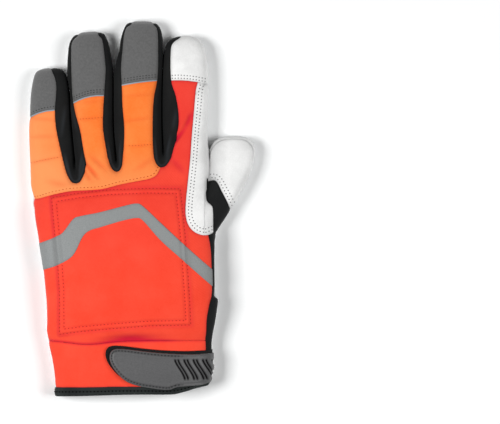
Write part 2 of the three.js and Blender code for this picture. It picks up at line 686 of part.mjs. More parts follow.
// A layer that lies on the glove's back, from one height over the surface to another
const layer = (from, to) => gloveBody(-to).subtract(gloveBody(-from));
const onBack = prism(everywhere, TAB_FOOT, TALLEST);
pieces.set("reflective_stripe", layer(SEAM_GAP, SEAM_GAP + STRIPE_THICK).intersect(prism(stripeOutline)).intersect(above));

const backingFrom = HEM_STAND + SEAM_GAP;
const tabFrom = backingFrom + BACKING_THICK + SEAM_GAP;
pieces.set("strap_backing", layer(backingFrom, backingFrom + BACKING_THICK).intersect(prism(backingOutline)).intersect(onBack));

// Ribs are slanting grooves across the tab near the thumb side.
function ribGrooves() {
  const from = tabFrom + TAB_THICK - RIB_DEPTH;
  const groove = (k) => {
    const right = tabSide - RIB_PITCH * (k + 0.15);
    const run = TAB_WIDTH * 0.56;
    const top = tabUpper - TAB_WIDTH * 0.18;
    const lean = run * RIB_LEAN;
    return [plan(right - lean, top), plan(right, top - run), plan(right + RIB_WIDTH, top - run), plan(right + RIB_WIDTH - lean, top)];
  };
  const band = layer(from, from + PALM_HEIGHT);
  return Array.from({ length: RIB_COUNT }, (_, k) => band.intersect(prism(groove(k)))).reduce((a, b) => a.add(b));
}
pieces.set(
  "strap_tab",
  layer(tabFrom, tabFrom + TAB_THICK).intersect(prism(tabOutline)).intersect(onBack).subtract(ribGrooves()),
);

// The three.js group

const FINISH = {
  palm_leather: GOATSKIN,
  thumb_leather: GOATSKIN,
  index_side_leather: GOATSKIN,
  cap_index: GOATSKIN,
  cap_pinky: GREY_SUEDE,
  cap_ring: GREY_SUEDE,
  cap_middle: GREY_SUEDE,
  knuckle_panel: HI_VIS_ORANGE,
  back_panel: HI_VIS_RED,
  cuff_panel: HI_VIS_RED,
  reflective_stripe: REFLECTIVE_GREY,
  strap_tab: MOULDED_GREY,
};

// The largest body of a solid, without the crumbs that a slanting cut can leave
const mainBody = (solid) => solid.decompose().reduce((a, b) => (b.volume() > a.volume() ? b : a));

function meshOf(name, solid) {
  const made = mainBody(solid.simplify(FACET_TOLERANCE)).getMesh();
  const geometry = new THREE.BufferGeometry();
  geometry.setAttribute("position", new THREE.BufferAttribute(new Float32Array(made.vertProperties), 3));
  geometry.setIndex(new THREE.BufferAttribute(new Uint32Array(made.triVerts), 1));
  geometry.computeVertexNormals();
  const mesh = new THREE.Mesh(geometry, FINISH[name] ?? FLEECE_BLACK);
  mesh.name = name;
  return mesh;
}

const glove = new THREE.Group();
for (const [name, solid] of pieces) glove.add(meshOf(name, solid));

export default glove;
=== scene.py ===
"""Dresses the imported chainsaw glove: cloth, leather, stitching, strap, floor, light and camera.

The glove's skin has five fingers growing out of one hand, which no single sheet of two parameters can follow.
So the skin is the level surface of a wall function, worked out on a grid as whole arrays. It is cut along the
seams into the sewn pieces, and each piece gets its relief, which is again a function of place.
Numbers are millimetres in the CAD model's frame until a mesh is made.
"""

import bpy
import numpy as np
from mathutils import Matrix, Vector


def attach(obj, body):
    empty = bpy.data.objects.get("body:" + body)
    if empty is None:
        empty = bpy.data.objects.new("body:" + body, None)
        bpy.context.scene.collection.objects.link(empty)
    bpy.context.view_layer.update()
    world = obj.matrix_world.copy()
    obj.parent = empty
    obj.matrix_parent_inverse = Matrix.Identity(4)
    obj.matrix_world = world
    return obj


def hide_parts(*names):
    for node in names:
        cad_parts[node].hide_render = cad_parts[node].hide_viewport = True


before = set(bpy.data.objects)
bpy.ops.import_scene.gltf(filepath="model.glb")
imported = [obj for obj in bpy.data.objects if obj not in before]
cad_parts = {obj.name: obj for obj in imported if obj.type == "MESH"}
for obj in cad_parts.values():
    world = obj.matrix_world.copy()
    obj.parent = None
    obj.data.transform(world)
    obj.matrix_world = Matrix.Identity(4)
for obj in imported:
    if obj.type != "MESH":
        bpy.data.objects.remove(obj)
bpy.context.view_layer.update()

MM = 0.001

# Sizes, the same as the solids'


def rows(names, values):
    """A table with named columns; each row of values is one section."""
    return dict(zip(names.split(), np.array(values, float).T))


def bell(x, wide):
    """A bump of height 1 that dies away as exp of minus the squared distance over its width."""
    return np.exp(-((x / wide) ** 2))


def limit(v):
    """Values held between 0 and 1."""
    return np.clip(v, 0, 1)


def smooth(t):
    """The way from 0 to 1, level at both ends: 3 t^2 - 2 t^3."""
    return t**2 * (3 - 2 * t)


def lengths(line):
    """How far along a line each of its points lies."""
    return np.concatenate([[0], np.cumsum(np.linalg.norm(np.diff(line, axis=0), axis=1))])


def along_line(line, at):
    """The points of a line at given lengths along it."""
    length = lengths(line)
    return np.stack([np.interp(at, length, values) for values in line.T], axis=1)


def column(table, name, at):
    """Value of one column at the shares at, on a cubic curve through the rows with slopes from their
    neighbours."""
    share, value = table["at"], table[name]
    order = np.arange(len(share))
    before, after = np.maximum(order - 1, 0), np.minimum(order + 1, len(share) - 1)
    slope = (value[after] - value[before]) / (share[after] - share[before])
    at = np.clip(at, share[0], share[-1])
    k = np.clip(np.searchsorted(share, at, side="right"), 1, len(share) - 1)
    span = share[k] - share[k - 1]
    t = (at - share[k - 1]) / span
    return (
        (2 * t**3 - 3 * t**2 + 1) * value[k - 1]
        + (t**3 - 2 * t**2 + t) * span * slope[k - 1]
        + (3 * t**2 - 2 * t**3) * value[k]
        + (t**3 - t**2) * span * slope[k]
    )


WALL = 1.5
BACK = 148.7  # hem to knuckles
HEEL = 70.7  # hem to origin
CUFF = 35.7  # hem to wrist seam
PALM_HIGH = 30
ROOT_WIDTHS = np.array([30 * 1.05, 30 * 0.934, 33 * 0.95, 32 * 0.962])
GAP = 0.7
KNUCKLES = ROOT_WIDTHS.sum() + 3 * GAP
ROOTS = np.cumsum(ROOT_WIDTHS + GAP) - GAP - ROOT_WIDTHS / 2 - KNUCKLES / 2
THUMB = {"long": 76.3, "wide": 32, "high": 19, "side": KNUCKLES / 2 + 0.9, "root": 0.687 * BACK - HEEL}

PALM = rows("at left right tilt top", [
    (0, -0.359, 0.499, 0.03, 0.73),
    (0.085, -0.365, 0.522, 0.016, 0.77),
    (0.166, -0.381, 0.522, 0.008, 0.77),
    (0.24, -0.402, 0.523, 0, 0.79),
    (0.341, -0.4065, 0.542, 0, 0.9),
    (0.428, -0.41, 0.548, 0, 0.97),
    (0.57, -0.4275, 0.541, 0, 1),
    (0.711, -0.454, 0.538, 0, 1),
    (0.839, -0.476, 0.53, 0.02, 0.95),
    (0.919, -0.487, 0.505, 0.05, 0.87),
    (1, -0.496, 0.496, 0.08, 0.78),
    (1.05, -0.49, 0.48, 0.08, 0.6),
    (1.09, -0.47, 0.46, 0.08, 0.36),
])
LITTLE = rows("at centre half top", [
    (-0.25, -0.01, 0.5, 0.95),
    (0, 0, 0.525, 1.06),
    (0.233, -0.012, 0.513, 1.03),
    (0.419, -0.014, 0.495, 1),
    (0.605, 0.005, 0.471, 0.97),
    (0.79, 0.033, 0.439, 0.93),
    (0.92, 0.055, 0.385, 0.82),
    (0.975, 0.05, 0.31, 0.66),
    (1, 0.04, 0.2, 0.5),
])
RING = rows("at centre half top", [
    (-0.2, 0, 0.443, 0.85),
    (0, 0, 0.467, 1.1),
    (0.185, -0.021, 0.464, 1.06),
    (0.323, -0.037, 0.467, 1.02),
    (0.46, -0.03, 0.481, 1),
    (0.597, -0.019, 0.495, 0.98),
    (0.721, -0.035, 0.513, 0.95),
    (0.872, -0.007, 0.49, 0.88),
    (0.94, -0.007, 0.437, 0.78),
    (0.98, 0.01, 0.35, 0.66),
    (1, 0.02, 0.24, 0.5),
])
MIDDLE = rows("at centre half top", [
    (-0.2, 0, 0.44, 0.85),
    (0, 0.01, 0.475, 1.1),
    (0.134, -0.013, 0.488, 1.07),
    (0.268, -0.047, 0.497, 1.03),
    (0.47, -0.057, 0.498, 1),
    (0.604, -0.049, 0.495, 0.98),
    (0.738, -0.015, 0.477, 0.94),
    (0.872, 0.006, 0.446, 0.87),
    (0.94, 0.013, 0.4, 0.78),
    (0.98, 0.01, 0.33, 0.66),
    (1, 0, 0.24, 0.5),
])
INDEX = rows("at centre half top", [
    (-0.2, -0.02, 0.44, 0.85),
    (0, 0, 0.481, 1.1),
    (0.149, -0.01, 0.488, 1.07),
    (0.297, -0.025, 0.497, 1.03),
    (0.52, -0.03, 0.503, 1),
    (0.743, -0.032, 0.489, 0.96),
    (0.86, -0.043, 0.46, 0.89),
    (0.92, -0.053, 0.415, 0.8),
    (0.965, -0.055, 0.335, 0.68),
    (1, -0.05, 0.17, 0.48),
])
THUMB_ROWS = rows("at left right top", [
    (0, -0.46, -0.044, 0.8),
    (0.119, -0.416, 0.142, 0.88),
    (0.229, -0.328, 0.317, 0.93),
    (0.349, -0.197, 0.499, 0.97),
    (0.459, -0.066, 0.66, 1),
    (0.56, 0, 0.785, 1),
    (0.65, 0, 0.882, 1),
    (0.76, 0, 0.963, 0.98),
    (0.862, 0.002, 1.0, 0.92),
    (0.927, 0.07, 0.965, 0.82),
    (0.975, 0.18, 0.88, 0.67),
    (1, 0.34, 0.72, 0.5),
])


def finger(table, place, long, wide, high, lean, root):
    """One finger's sizes and its straight axis in plan, from the middle of its root."""
    angle = np.radians(lean)
    return {
        "rows": table,
        "long": long,
        "wide": wide,
        "high": high,
        "way": np.array([np.sin(angle), np.cos(angle)]),
        "side": np.array([np.cos(angle), -np.sin(angle)]),
        "base": np.array([ROOTS[place], root * BACK - HEEL]),
    }


FINGERS = [
    finger(LITTLE, 0, 75.4, 30, 19, -3.46, 1.015),
    finger(RING, 1, 102.2, 30, 20.5, -3.53, 1.006),
    finger(MIDDLE, 2, 104.3, 33, 21.5, 0.38, 1.04),
    finger(INDEX, 3, 94.2, 32, 20.5, 0.64, 1.04),
]

# The wall function: below 0 inside the glove, and near the wall about the distance to it

EQUATOR = 0.42


def fullness(up, half):
    """The power n of a section: little more than an ellipse's 2 on the back, and a boxy 4 to 11
    underneath."""
    fuller = 2 * half / KNUCKLES
    return np.where(up, 2.5 + 0.5 * fuller, 4 + 7 * fuller)


def section(across, height, half, top):
    """Distance to a section: a superellipse with a full back and a nearly flat underside. With X and Z the
    shares of its half width and of its height from its widest line, r is the n-th root of X^n + Z^n, and
    the distance is r - 1 over the slope of r."""
    middle = EQUATOR * top
    up = height > middle
    n = fullness(up, half)
    rise = np.where(up, top - middle, middle)
    x = np.abs(across) / half + 1e-4
    z = np.abs(height - middle) / rise + 1e-4
    r = (x**n + z**n) ** (1 / n)
    slope = r ** (1 - n) * np.hypot(x ** (n - 1) / half, z ** (n - 1) / rise)
    return (r - 1) / slope


def melt(a, b, reach):
    """The lower of two distances, eased to a smooth join where they differ by less than reach."""
    near = limit(1 - np.abs(a - b) / reach)
    return np.minimum(a, b) - near**2 * reach / 4


def palm_sizes(at):
    """The hand's left edge, right edge, slant and height in mm at shares along it."""
    left, right, tilt = (column(PALM, name, at) * KNUCKLES for name in ("left", "right", "tilt"))
    return left, right, tilt, column(PALM, "top", at) * PALM_HIGH


def palm_wall(p):
    """The hand's tube. Its sections slant, so a point's share along it comes from its own share across it."""
    x, y, z = p.T
    at = (y + HEEL) / BACK
    for turn in range(3):
        left, right, tilt, top = palm_sizes(at)
        half = (right - left) / 2
        across = x - (left + right) / 2
        at = (y + HEEL - np.clip(across / half, -1, 1) * tilt) / BACK
    top = column(PALM, "top", at) * PALM_HIGH
    return -melt(-section(across, z, half, top), -(at - PALM["at"][-1]) * BACK, 4)


def finger_wall(p, f):
    """One finger's tube, closed at its tip by a plane with a rounded edge."""
    rel = p[:, :2] - f["base"]
    at = rel @ f["way"] / f["long"]
    half = column(f["rows"], "half", at) * f["wide"]
    across = rel @ f["side"] - column(f["rows"], "centre", at) * f["wide"]
    top = column(f["rows"], "top", at) * f["high"]
    side = section(across, p[:, 2], half, top)
    ends = np.maximum((at - 1) * f["long"], (f["rows"]["at"][0] - at) * f["long"])
    return -melt(-side, -ends, 3)


THUMB_CLEAR = 0.8  # the thumb is worked out this far from the index finger and moved back later


def thumb_wall(p):
    """The thumb's tube, which runs alongside the index finger and opens into the hand."""
    x, y, z = p.T
    at = (y - THUMB["root"]) / THUMB["long"]
    left = THUMB["side"] + column(THUMB_ROWS, "left", at) * THUMB["wide"]
    right = THUMB["side"] + column(THUMB_ROWS, "right", at) * THUMB["wide"]
    top = column(THUMB_ROWS, "top", at) * THUMB["high"]
    side = section(x - (left + right) / 2, z, (right - left) / 2, top)
    ends = np.maximum((at - 1) * THUMB["long"], -at * THUMB["long"])
    return -melt(-side, -ends, 3)


def glove_wall(p):
    """All the tubes together. A tube is worked out only for the points in its own part of the plan."""
    x, y = p[:, 0], p[:, 1]
    wall = np.full(len(p), 50.0)
    near = y < 100
    wall[near] = palm_wall(p[near])
    fingers = np.full(len(p), 50.0)
    for f in FINGERS:
        rel = p[:, :2] - f["base"]
        near = (np.abs(rel @ f["side"]) < f["wide"] * 0.75) & (rel @ f["way"] > -0.3 * f["long"])
        fingers[near] = np.minimum(fingers[near], finger_wall(p[near], f))
    wall = melt(wall, fingers, 5)
    near = (x > 40) & (y > 24) & (y < 116)
    thumb = np.full(len(p), 50.0)
    thumb[near] = thumb_wall(p[near] - (THUMB_CLEAR, 0, 0))
    return np.maximum(melt(wall, thumb, 4), -p[:, 2])


def wall_slope(p, step=0.2):
    """Slope of the wall function, from its change over a small step each way."""
    ways = np.eye(3) * step
    return np.stack([(glove_wall(p + w) - glove_wall(p - w)) / (2 * step) for w in ways], axis=1)


def unit(v):
    """Ways of length 1."""
    return v / np.maximum(np.linalg.norm(v, axis=-1, keepdims=True), 1e-9)


def level_surface(low, high, step):
    """Surface nets: one vertex in each grid cell that the wall crosses, at the mean of the crossings on the
    cell's edges, and one square round each grid edge that is crossed."""
    counts = np.ceil((np.array(high) - low) / step).astype(int)
    axes = [low[k] + np.arange(counts[k]) * step for k in range(3)]
    grid = np.stack(np.meshgrid(*axes, indexing="ij"), axis=-1)
    value = glove_wall(grid.reshape(-1, 3)).reshape(counts)
    inside = value < 0
    corners = [np.array(c) for c in np.ndindex(2, 2, 2)]
    spans = [[slice(start, start + count - 1) for start, count in zip(c, counts)] for c in corners]
    filled = sum(inside[tuple(span)].astype(int) for span in spans)
    cells = np.argwhere((filled > 0) & (filled < 8))
    place = np.zeros((len(cells), 3))
    hits = np.zeros(len(cells))
    for a in corners:
        for k in range(3):
            if a[k]:
                continue
            b = a.copy()
            b[k] = 1
            va, vb = value[tuple((cells + a).T)], value[tuple((cells + b).T)]
            cross = (va < 0) != (vb < 0)
            t = np.where(cross, va / np.where(cross, va - vb, 1), 0)
            place += cross[:, None] * (a + t[:, None] * (b - a))
            hits += cross
    verts = np.array(low) + (cells + place / hits[:, None]) * step
    number = np.full(counts, -1)
    number[tuple(cells.T)] = np.arange(len(cells))
    quads = []
    for k in range(3):
        u, v = (k + 1) % 3, (k + 2) % 3
        lower = inside.take(np.arange(counts[k] - 1), axis=k)
        upper = inside.take(np.arange(1, counts[k]), axis=k)
        edges = np.argwhere(lower != upper)
        around = edges[:, [u, v]]
        edges = edges[(around > 0).all(1) & (around < counts[[u, v]] - 1).all(1)]
        outward = lower[tuple(edges.T)]
        du, dv = np.eye(3, dtype=int)[u], np.eye(3, dtype=int)[v]
        ring = [number[tuple((edges + o).T)] for o in (-du - dv, -dv, 0 * du, -du)]
        quads.append(np.where(outward[:, None], np.stack(ring, 1), np.stack(ring[::-1], 1)))
    quads = np.concatenate(quads)
    return verts, quads[(quads >= 0).all(axis=1)]


def onto_wall(p, turns):
    """Moves points along the slope until the wall function is 0."""
    for _ in range(turns):
        g = wall_slope(p)
        move = glove_wall(p) / np.maximum((g**2).sum(1), 0.2)
        p = p - np.clip(move, -0.7, 0.7)[:, None] * g
    return p


# Plans: the seam lines on the back


def plan(points):
    """Plan points in mm from shares of the knuckles' width and of the back's length from the hem."""
    points = np.array(points, float)
    return np.stack([points[:, 0] * KNUCKLES, points[:, 1] * BACK - HEEL], axis=1)


def curve(points, steps=5):
    """A smooth line through points: a cubic through each pair with slopes from their neighbours."""
    points = np.array(points, float)
    table = {"at": np.arange(len(points), dtype=float), "x": points[:, 0], "y": points[:, 1]}
    at = np.linspace(0, len(points) - 1, (len(points) - 1) * steps + 1)
    return np.stack([column(table, "x", at), column(table, "y", at)], axis=1)


SIDE, UP = 150, 300  # past the glove's side and past its fingertips


def closed_by(line, *corners):
    """A closed outline from a line and the corners beyond the glove that join its ends."""
    return np.concatenate([line, corners])


def to_outline(p, outline):
    """Signed distance in plan to a closed outline, below 0 inside: the least distance to its sides, with its
    sign from how often a line to the right crosses them."""
    x, y = p[:, 0], p[:, 1]
    least = np.full(len(p), 1e9)
    inside = np.zeros(len(p), bool)
    for a, b in zip(outline, np.roll(outline, -1, axis=0)):
        d = b - a
        t = limit(((x - a[0]) * d[0] + (y - a[1]) * d[1]) / max(d @ d, 1e-9))
        least = np.minimum(least, np.hypot(x - a[0] - t * d[0], y - a[1] - t * d[1]))
        if a[1] != b[1]:
            inside ^= ((a[1] > y) != (b[1] > y)) & (x < a[0] + (y - a[1]) * d[0] / d[1])
    return np.where(inside, -least, least)


def to_line(p, line):
    """Distance in plan to an open line, and how far along it the nearest point lies."""
    least = np.full(len(p), 1e9)
    along = np.zeros(len(p))
    start = 0
    for a, b in zip(line[:-1], line[1:]):
        d = b - a
        long = np.hypot(*d)
        t = limit((p[:, :2] - a) @ d / max(d @ d, 1e-9))
        far = np.hypot(*(p[:, :2] - a - t[:, None] * d).T)
        nearer = far < least
        least = np.where(nearer, far, least)
        along = np.where(nearer, start + t * long, along)
        start += long
    return least, along, start


def on_finger(f, at, across):
    """Plan points from shares of a finger's length, from its root, and of its width, from its axis."""
    at, across = np.broadcast_arrays(np.array(at, float), np.array(across, float))
    return f["base"] + at[..., None] * f["long"] * f["way"] + across[..., None] * f["wide"] * f["side"]


def edge_line(f, points):
    """A line along a finger from pairs of those shares."""
    points = np.array(points, float)
    return on_finger(f, points[:, 0], points[:, 1])


LITTLE_RIGHT = [
    (0.05, 0.334), (0.14, 0.266), (0.3, 0.19), (0.46, 0.138), (0.62, 0.146), (0.8, 0.205), (0.9, 0.18),
    (1, 0.09), (1.1, 0.05),
]
RING_LEFT = [
    (0.05, -0.24), (0.185, -0.264), (0.323, -0.317), (0.46, -0.418), (0.597, -0.455), (0.872, -0.422),
    (0.945, -0.37), (0.985, -0.24), (1.1, -0.2),
]
RING_RIGHT = [
    (0.09, 0.366), (0.185, 0.268), (0.323, 0.224), (0.46, 0.254), (0.597, 0.308), (0.8, 0.355),
    (0.93, 0.335), (0.98, 0.24), (1.1, 0.19),
]
MIDDLE_LEFT = [
    (0.06, -0.375), (0.15, -0.342), (0.268, -0.335), (0.47, -0.382), (0.738, -0.397), (0.872, -0.38),
    (0.95, -0.325), (0.99, -0.2), (1.1, -0.17),
]
MIDDLE_RIGHT = [
    (0.05, 0.36), (0.134, 0.306), (0.268, 0.269), (0.47, 0.286), (0.62, 0.363), (0.85, 0.37),
    (0.95, 0.335), (0.99, 0.25), (1.1, 0.212),
]
INDEX_LEFT = [
    (0.074, -0.3085), (0.149, -0.234), (0.297, -0.173), (0.42, -0.168), (0.55, -0.235), (0.67, -0.343),
    (0.892, -0.357), (0.95, -0.295), (1, -0.13), (1.1, -0.06),
]


def gusset(a, a_edge, b, b_edge, crotch):
    """The black strip between two fingers: down one finger's edge, round the crotch's own points and up the
    other's."""
    left, right = edge_line(a, a_edge)[::-1], edge_line(b, b_edge)
    crotch = np.array(crotch, float)
    left = left[left[:, 1] > crotch[0, 1] + 4]
    right = right[right[:, 1] > crotch[-1, 1] + 4]
    line = curve(np.concatenate([left, crotch, right]))
    return np.concatenate([[(line[0, 0], UP)], line, [(line[-1, 0], UP)]])


GUSSETS = {
    "gusset_pinky_ring": gusset(
        FINGERS[0], LITTLE_RIGHT, FINGERS[1], RING_LEFT,
        [
            (-38.7, 90), (-36.6, 82.5), (-34.8, 78.3), (-33.0, 75.9), (-30.8, 74.9), (-28.4, 75.1),
            (-26.6, 76.6), (-24.9, 80), (-23.7, 84.5), (-23.3, 90),
        ],
    ),
    "gusset_ring_middle": gusset(
        FINGERS[1], RING_RIGHT, FINGERS[2], MIDDLE_LEFT,
        [
            (-8.3, 95), (-7.2, 91), (-5.8, 87.2), (-4.0, 84.3), (-1.7, 83.0), (0.4, 83.9), (1.8, 86.6),
            (2.6, 91), (3.0, 95),
        ],
    ),
    "gusset_middle_index": gusset(
        FINGERS[2], MIDDLE_RIGHT, FINGERS[3], INDEX_LEFT,
        [(24.4, 96), (25.3, 91), (26.9, 87.6), (29.4, 86.0), (32.4, 86.8), (34.9, 90), (37.0, 95)],
    ),
}

CAPS = rows("finger long rise bow from to", [
    (0, 33, 0.07, 2.9, -0.9, 0.4),
    (1, 48.7, 0.11, 3.1, -0.47, 0.45),
    (2, 43.7, 0.144, 0.7, -0.44, 0.45),
    (3, 33.4, -0.07, 1.5, -0.44, 0.9),
])


def cap_edge(k, spread=0.0):
    """The lower edge of a fingertip cap: it slants by rise, a share of its width, and is higher by bow in
    its middle."""
    f = FINGERS[k]
    across = np.linspace(CAPS["from"][k] - spread, CAPS["to"][k] + spread, 9)
    up = CAPS["rise"][k] * f["wide"] * across + CAPS["bow"][k] * (1 - 4 * across**2) - CAPS["long"][k]
    return on_finger(f, 1 + up / f["long"], across)


def cap_outline(k):
    """A fingertip cap's outline: its lower edge and a straight line past the tip."""
    f = FINGERS[k]
    top = on_finger(f, [1.4, 1.4], [CAPS["to"][k], CAPS["from"][k]])
    return np.concatenate([cap_edge(k), top])


KNUCKLE_SEAM = curve(plan([
    (-0.56, 0.895), (-0.47, 0.905), (-0.39, 0.921), (-0.28, 0.94), (-0.16, 0.945), (-0.08, 0.952),
    (0.01, 0.972), (0.12, 0.989), (0.18, 1.0), (0.215, 1.018), (0.236, 1.05),
]))
KNUCKLES_OUTLINE = closed_by(
    KNUCKLE_SEAM, (KNUCKLE_SEAM[-1, 0], UP), (-SIDE, UP), (-SIDE, KNUCKLE_SEAM[0, 1]),
)
WRAP_EDGE = curve(
    [
        (55.9, 147.0), (54.3, 142), (53.5, 137), (52.7, 127), (51.5, 114), (50.7, 104), (49.8, 91),
        (48.4, 77), (47.7, 70), (47.0, 63), (46.6, 56), (47.0, 50.4), (48.4, 46.2), (50.9, 42.5),
        (54.4, 39.9), (58.6, 38.5), (62.8, 38.6), (66.4, 40.2), (73.0, 41.6),
    ]
)
WRAP_OUTLINE = closed_by(WRAP_EDGE, (SIDE, WRAP_EDGE[-1, 1]), (SIDE, UP), (WRAP_EDGE[0, 0] + 3, UP))
LEATHER_JOIN = np.array([(53.8, 137.0), (57.5, 140.6), (60.5, 144.2), (63.5, 148.6)])
VENT_EDGE = curve(plan([
    (0.5, 0.76), (0.507, 0.73), (0.521, 0.66), (0.526, 0.56), (0.526, 0.46), (0.511, 0.405),
    (0.498, 0.345), (0.492, 0.27), (0.492, 0.18),
]))
VENT_OUTLINE = closed_by(VENT_EDGE, (SIDE, VENT_EDGE[-1, 1]), (SIDE, VENT_EDGE[0, 1]))
THUMB_TOP = curve(plan([
    (0.49, 0.98), (0.51, 0.987), (0.533, 0.992), (0.549, 0.987), (0.563, 0.973), (0.585, 0.938),
    (0.61, 0.9), (0.63, 0.867), (0.68, 0.78),
]))
THUMB_OUTLINE = closed_by(THUMB_TOP, (SIDE, THUMB_TOP[-1, 1]), (SIDE, 150), (58, 150), (58, THUMB_TOP[0, 1]))
THUMB_GUSSET = curve(plan([
    (0.499, 1.0), (0.498, 0.95), (0.502, 0.897), (0.525, 0.876), (0.536, 0.85), (0.54, 0.74),
]))
THUMB_GUSSET_OUTLINE = closed_by(THUMB_GUSSET, (SIDE, THUMB_GUSSET[-1, 1]), (SIDE, THUMB_GUSSET[0, 1]))
STRIPE_UPPER = curve(plan([
    (-0.6, 0.662), (-0.447, 0.697), (-0.334, 0.734), (-0.3, 0.757), (-0.253, 0.809), (-0.21, 0.823),
    (-0.106, 0.84), (0.02, 0.867), (0.1, 0.881), (0.14, 0.867), (0.24, 0.79), (0.34, 0.712), (0.46, 0.622),
    (0.6, 0.52),
]))
STRIPE_LOWER = curve(plan([
    (-0.6, 0.54), (-0.43, 0.571), (-0.334, 0.597), (-0.253, 0.64), (-0.2, 0.725), (-0.16, 0.755),
    (-0.106, 0.769), (0.02, 0.8), (0.1, 0.813), (0.14, 0.8), (0.234, 0.712), (0.347, 0.627), (0.46, 0.543),
    (0.6, 0.44),
]))
STRIPE_OUTLINE = np.concatenate([STRIPE_UPPER, STRIPE_LOWER[::-1]])
WRIST = CUFF - HEEL


def over_wrist(p):
    """Distance up from the wrist seam, which sags 2.5 mm where the cloth above it is fullest."""
    return p[:, 1] - WRIST + 2.5 * bell(p[:, 0] + 22, 18) + 0.3


PAD_OUTLINE = curve(
    [
        (-46.8, 64.6), (-27, 67.8), (-6.5, 70.0), (20, 71.0), (43.0, 70.7), (44.6, 56.0), (46.7, 35.0),
        (48.1, 14.0), (49.5, -7.0), (50.2, -24.0), (21.5, -24.5), (-6.5, -26.6), (-27.5, -28.7),
        (-41.2, -30.6), (-41.2, 0.0), (-42.6, 21.0), (-44.6, 42.0), (-46.8, 64.6),
    ],
    1,
)
SEAM_Z = 4.4
HEM_WIDE = 5.6
HEM_SLANT = (0.03 - 0.014 * HEM_WIDE / (0.085 * BACK)) * KNUCKLES  # over half of the mouth's width


def hem_end(p):
    """Distance up the cuff from the hem binding's upper edge, which slants with the mouth."""
    left, right, _, _ = palm_sizes(0.0)
    slant = (2 * p[:, 0] - left - right) / (right - left) * HEM_SLANT
    return p[:, 1] - (HEM_WIDE - HEEL) - slant


def lowest(*values):
    """Inside any of the shapes."""
    return np.minimum.reduce(values)


def highest(*values):
    """Inside all of the shapes."""
    return np.maximum.reduce(values)


def cut_from(p, shapes):
    """Each piece's function, below 0 on the piece: inside its own outline and outside all that were cut
    before it."""
    taken = []
    pieces = {}
    for name, shape in shapes:
        value = shape(p)
        pieces[name] = highest(value, *[-t for t in taken]) if taken else value
        taken.append(value)
    return pieces


def nearer_thumb(p):
    """Below 0 where the thumb's wall is nearer than the index finger's."""
    return thumb_wall(p - (THUMB_CLEAR, 0, 0)) - finger_wall(p, FINGERS[3])


def thumb_shape(p):
    """The thumb's leather: beyond its plan line, and on the thumb's side of the crease with the index
    finger."""
    return highest(to_outline(p, THUMB_OUTLINE), nearer_thumb(p))


def vent_shape(p):
    """The black side edge: outside its plan line above the hand's widest line, and tucked further in below
    it."""
    plain = to_outline(p, VENT_OUTLINE)
    return lowest(plain, highest(plain - 7, p[:, 2] - PALM_HIGH * EQUATOR))


CAP_NAMES = ("cap_pinky", "cap_ring", "cap_middle", "cap_index")
BACK_PIECES = (
    [("thumb_leather", thumb_shape), ("palm_leather", lambda p: p[:, 2] - SEAM_Z)]
    + [("thumb_gusset", lambda p: to_outline(p, THUMB_GUSSET_OUTLINE))]
    + [(name, lambda p, o=o: to_outline(p, o)) for name, o in GUSSETS.items()]
    + [(name, lambda p, k=k: to_outline(p, cap_outline(k))) for k, name in enumerate(CAP_NAMES)]
    + [
        ("index_side_leather", lambda p: to_outline(p, WRAP_OUTLINE)),
        ("knuckle_panel", lambda p: to_outline(p, KNUCKLES_OUTLINE)),
        ("side_vent", vent_shape),
        ("cuff_panel", over_wrist),
        ("back_panel", lambda p: np.full(len(p), -30.0)),
    ]
)

# Relief: how far each point stands out from the wall

# creases in the cloth, from one end to the other, with width and depth; a depth below 0 is a ridge
DENTS = rows("x0 y0 x1 y1 wide deep", [
    (38.5, 103.0, 45.0, 111.8, 1.5, 1.5),
    (45.0, 111.8, 51.5, 124.0, 1.8, 1.2),
    (36.5, 106.0, 47.0, 118.5, 2.4, -0.9),
    (-24.5, 89.5, -14.5, 78.5, 1.6, 1.3),
    (-19.5, 94.0, -9.5, 84.5, 1.9, 0.7),
    (-25.0, 84.0, -19.0, 76.5, 1.8, 0.8),
    (-12.0, 120.5, -28.5, 119.4, 1.3, 0.5),
    (23.0, 101.7, 6.5, 100.7, 1.3, 0.55),
    (22.5, 103.4, 8.0, 102.5, 1.2, -0.3),
    (-11.0, 132.5, -26.5, 131.0, 1.4, 0.35),
    (-39.5, 93.6, -63.0, 88.6, 1.1, 0.5),
    (-43.5, 119.0, -64.0, 120.5, 1.4, 0.4),
    (-42.5, 108.0, -63.0, 107.0, 1.6, 0.35),
    (2.0, 118.0, 24.5, 120.6, 1.5, 0.4),
    (3.5, 136.0, 25.5, 137.0, 1.4, 0.3),
    (-50.0, 76.5, -36.0, 73.5, 2.2, 0.4),
    (25.0, 92.0, 12.0, 84.5, 2.0, 0.5),
    (36.5, 92.0, 46.0, 82.0, 2.2, 0.6),
])


def seam_tuck(depth_from_seam, deep, wide):
    """Where cloth is sewn, its edge is drawn in: a dip that dies away as exp of minus the squared
    distance."""
    return -deep * bell(depth_from_seam, wide)


def swell(p, size, seed):
    """Slow uneven fullness of soft cloth: a sum of sine waves in the plan with seeded ways and starts."""
    chance = np.random.default_rng(seed)
    total = np.zeros(len(p))
    for _ in range(7):
        way = chance.normal(size=3) / size
        total += np.sin(p @ way + chance.uniform(0, 6.28))
    return total / 7


def pad_grooves(d):
    """The two dips under the pad's rows of stitching, the outer on its outline and the inner 3.3 mm inside
    it."""
    return bell(d, 1.0) + 0.8 * bell(d - 3.3, 1.0)


def pad_relief(p):
    """The protective pad: raised 1.1 mm inside its outline over a soft shoulder, with a groove under each
    of its two rows of stitching."""
    d = -to_outline(p, PAD_OUTLINE)
    raised = 1.1 / (1 + np.exp(-(d + 1.0) / 0.8))
    outside = 0.6 * bell(d + 2.6, 2.2) * limit((-30 - p[:, 0]) / 10)
    return raised - 0.75 * pad_grooves(d) - outside


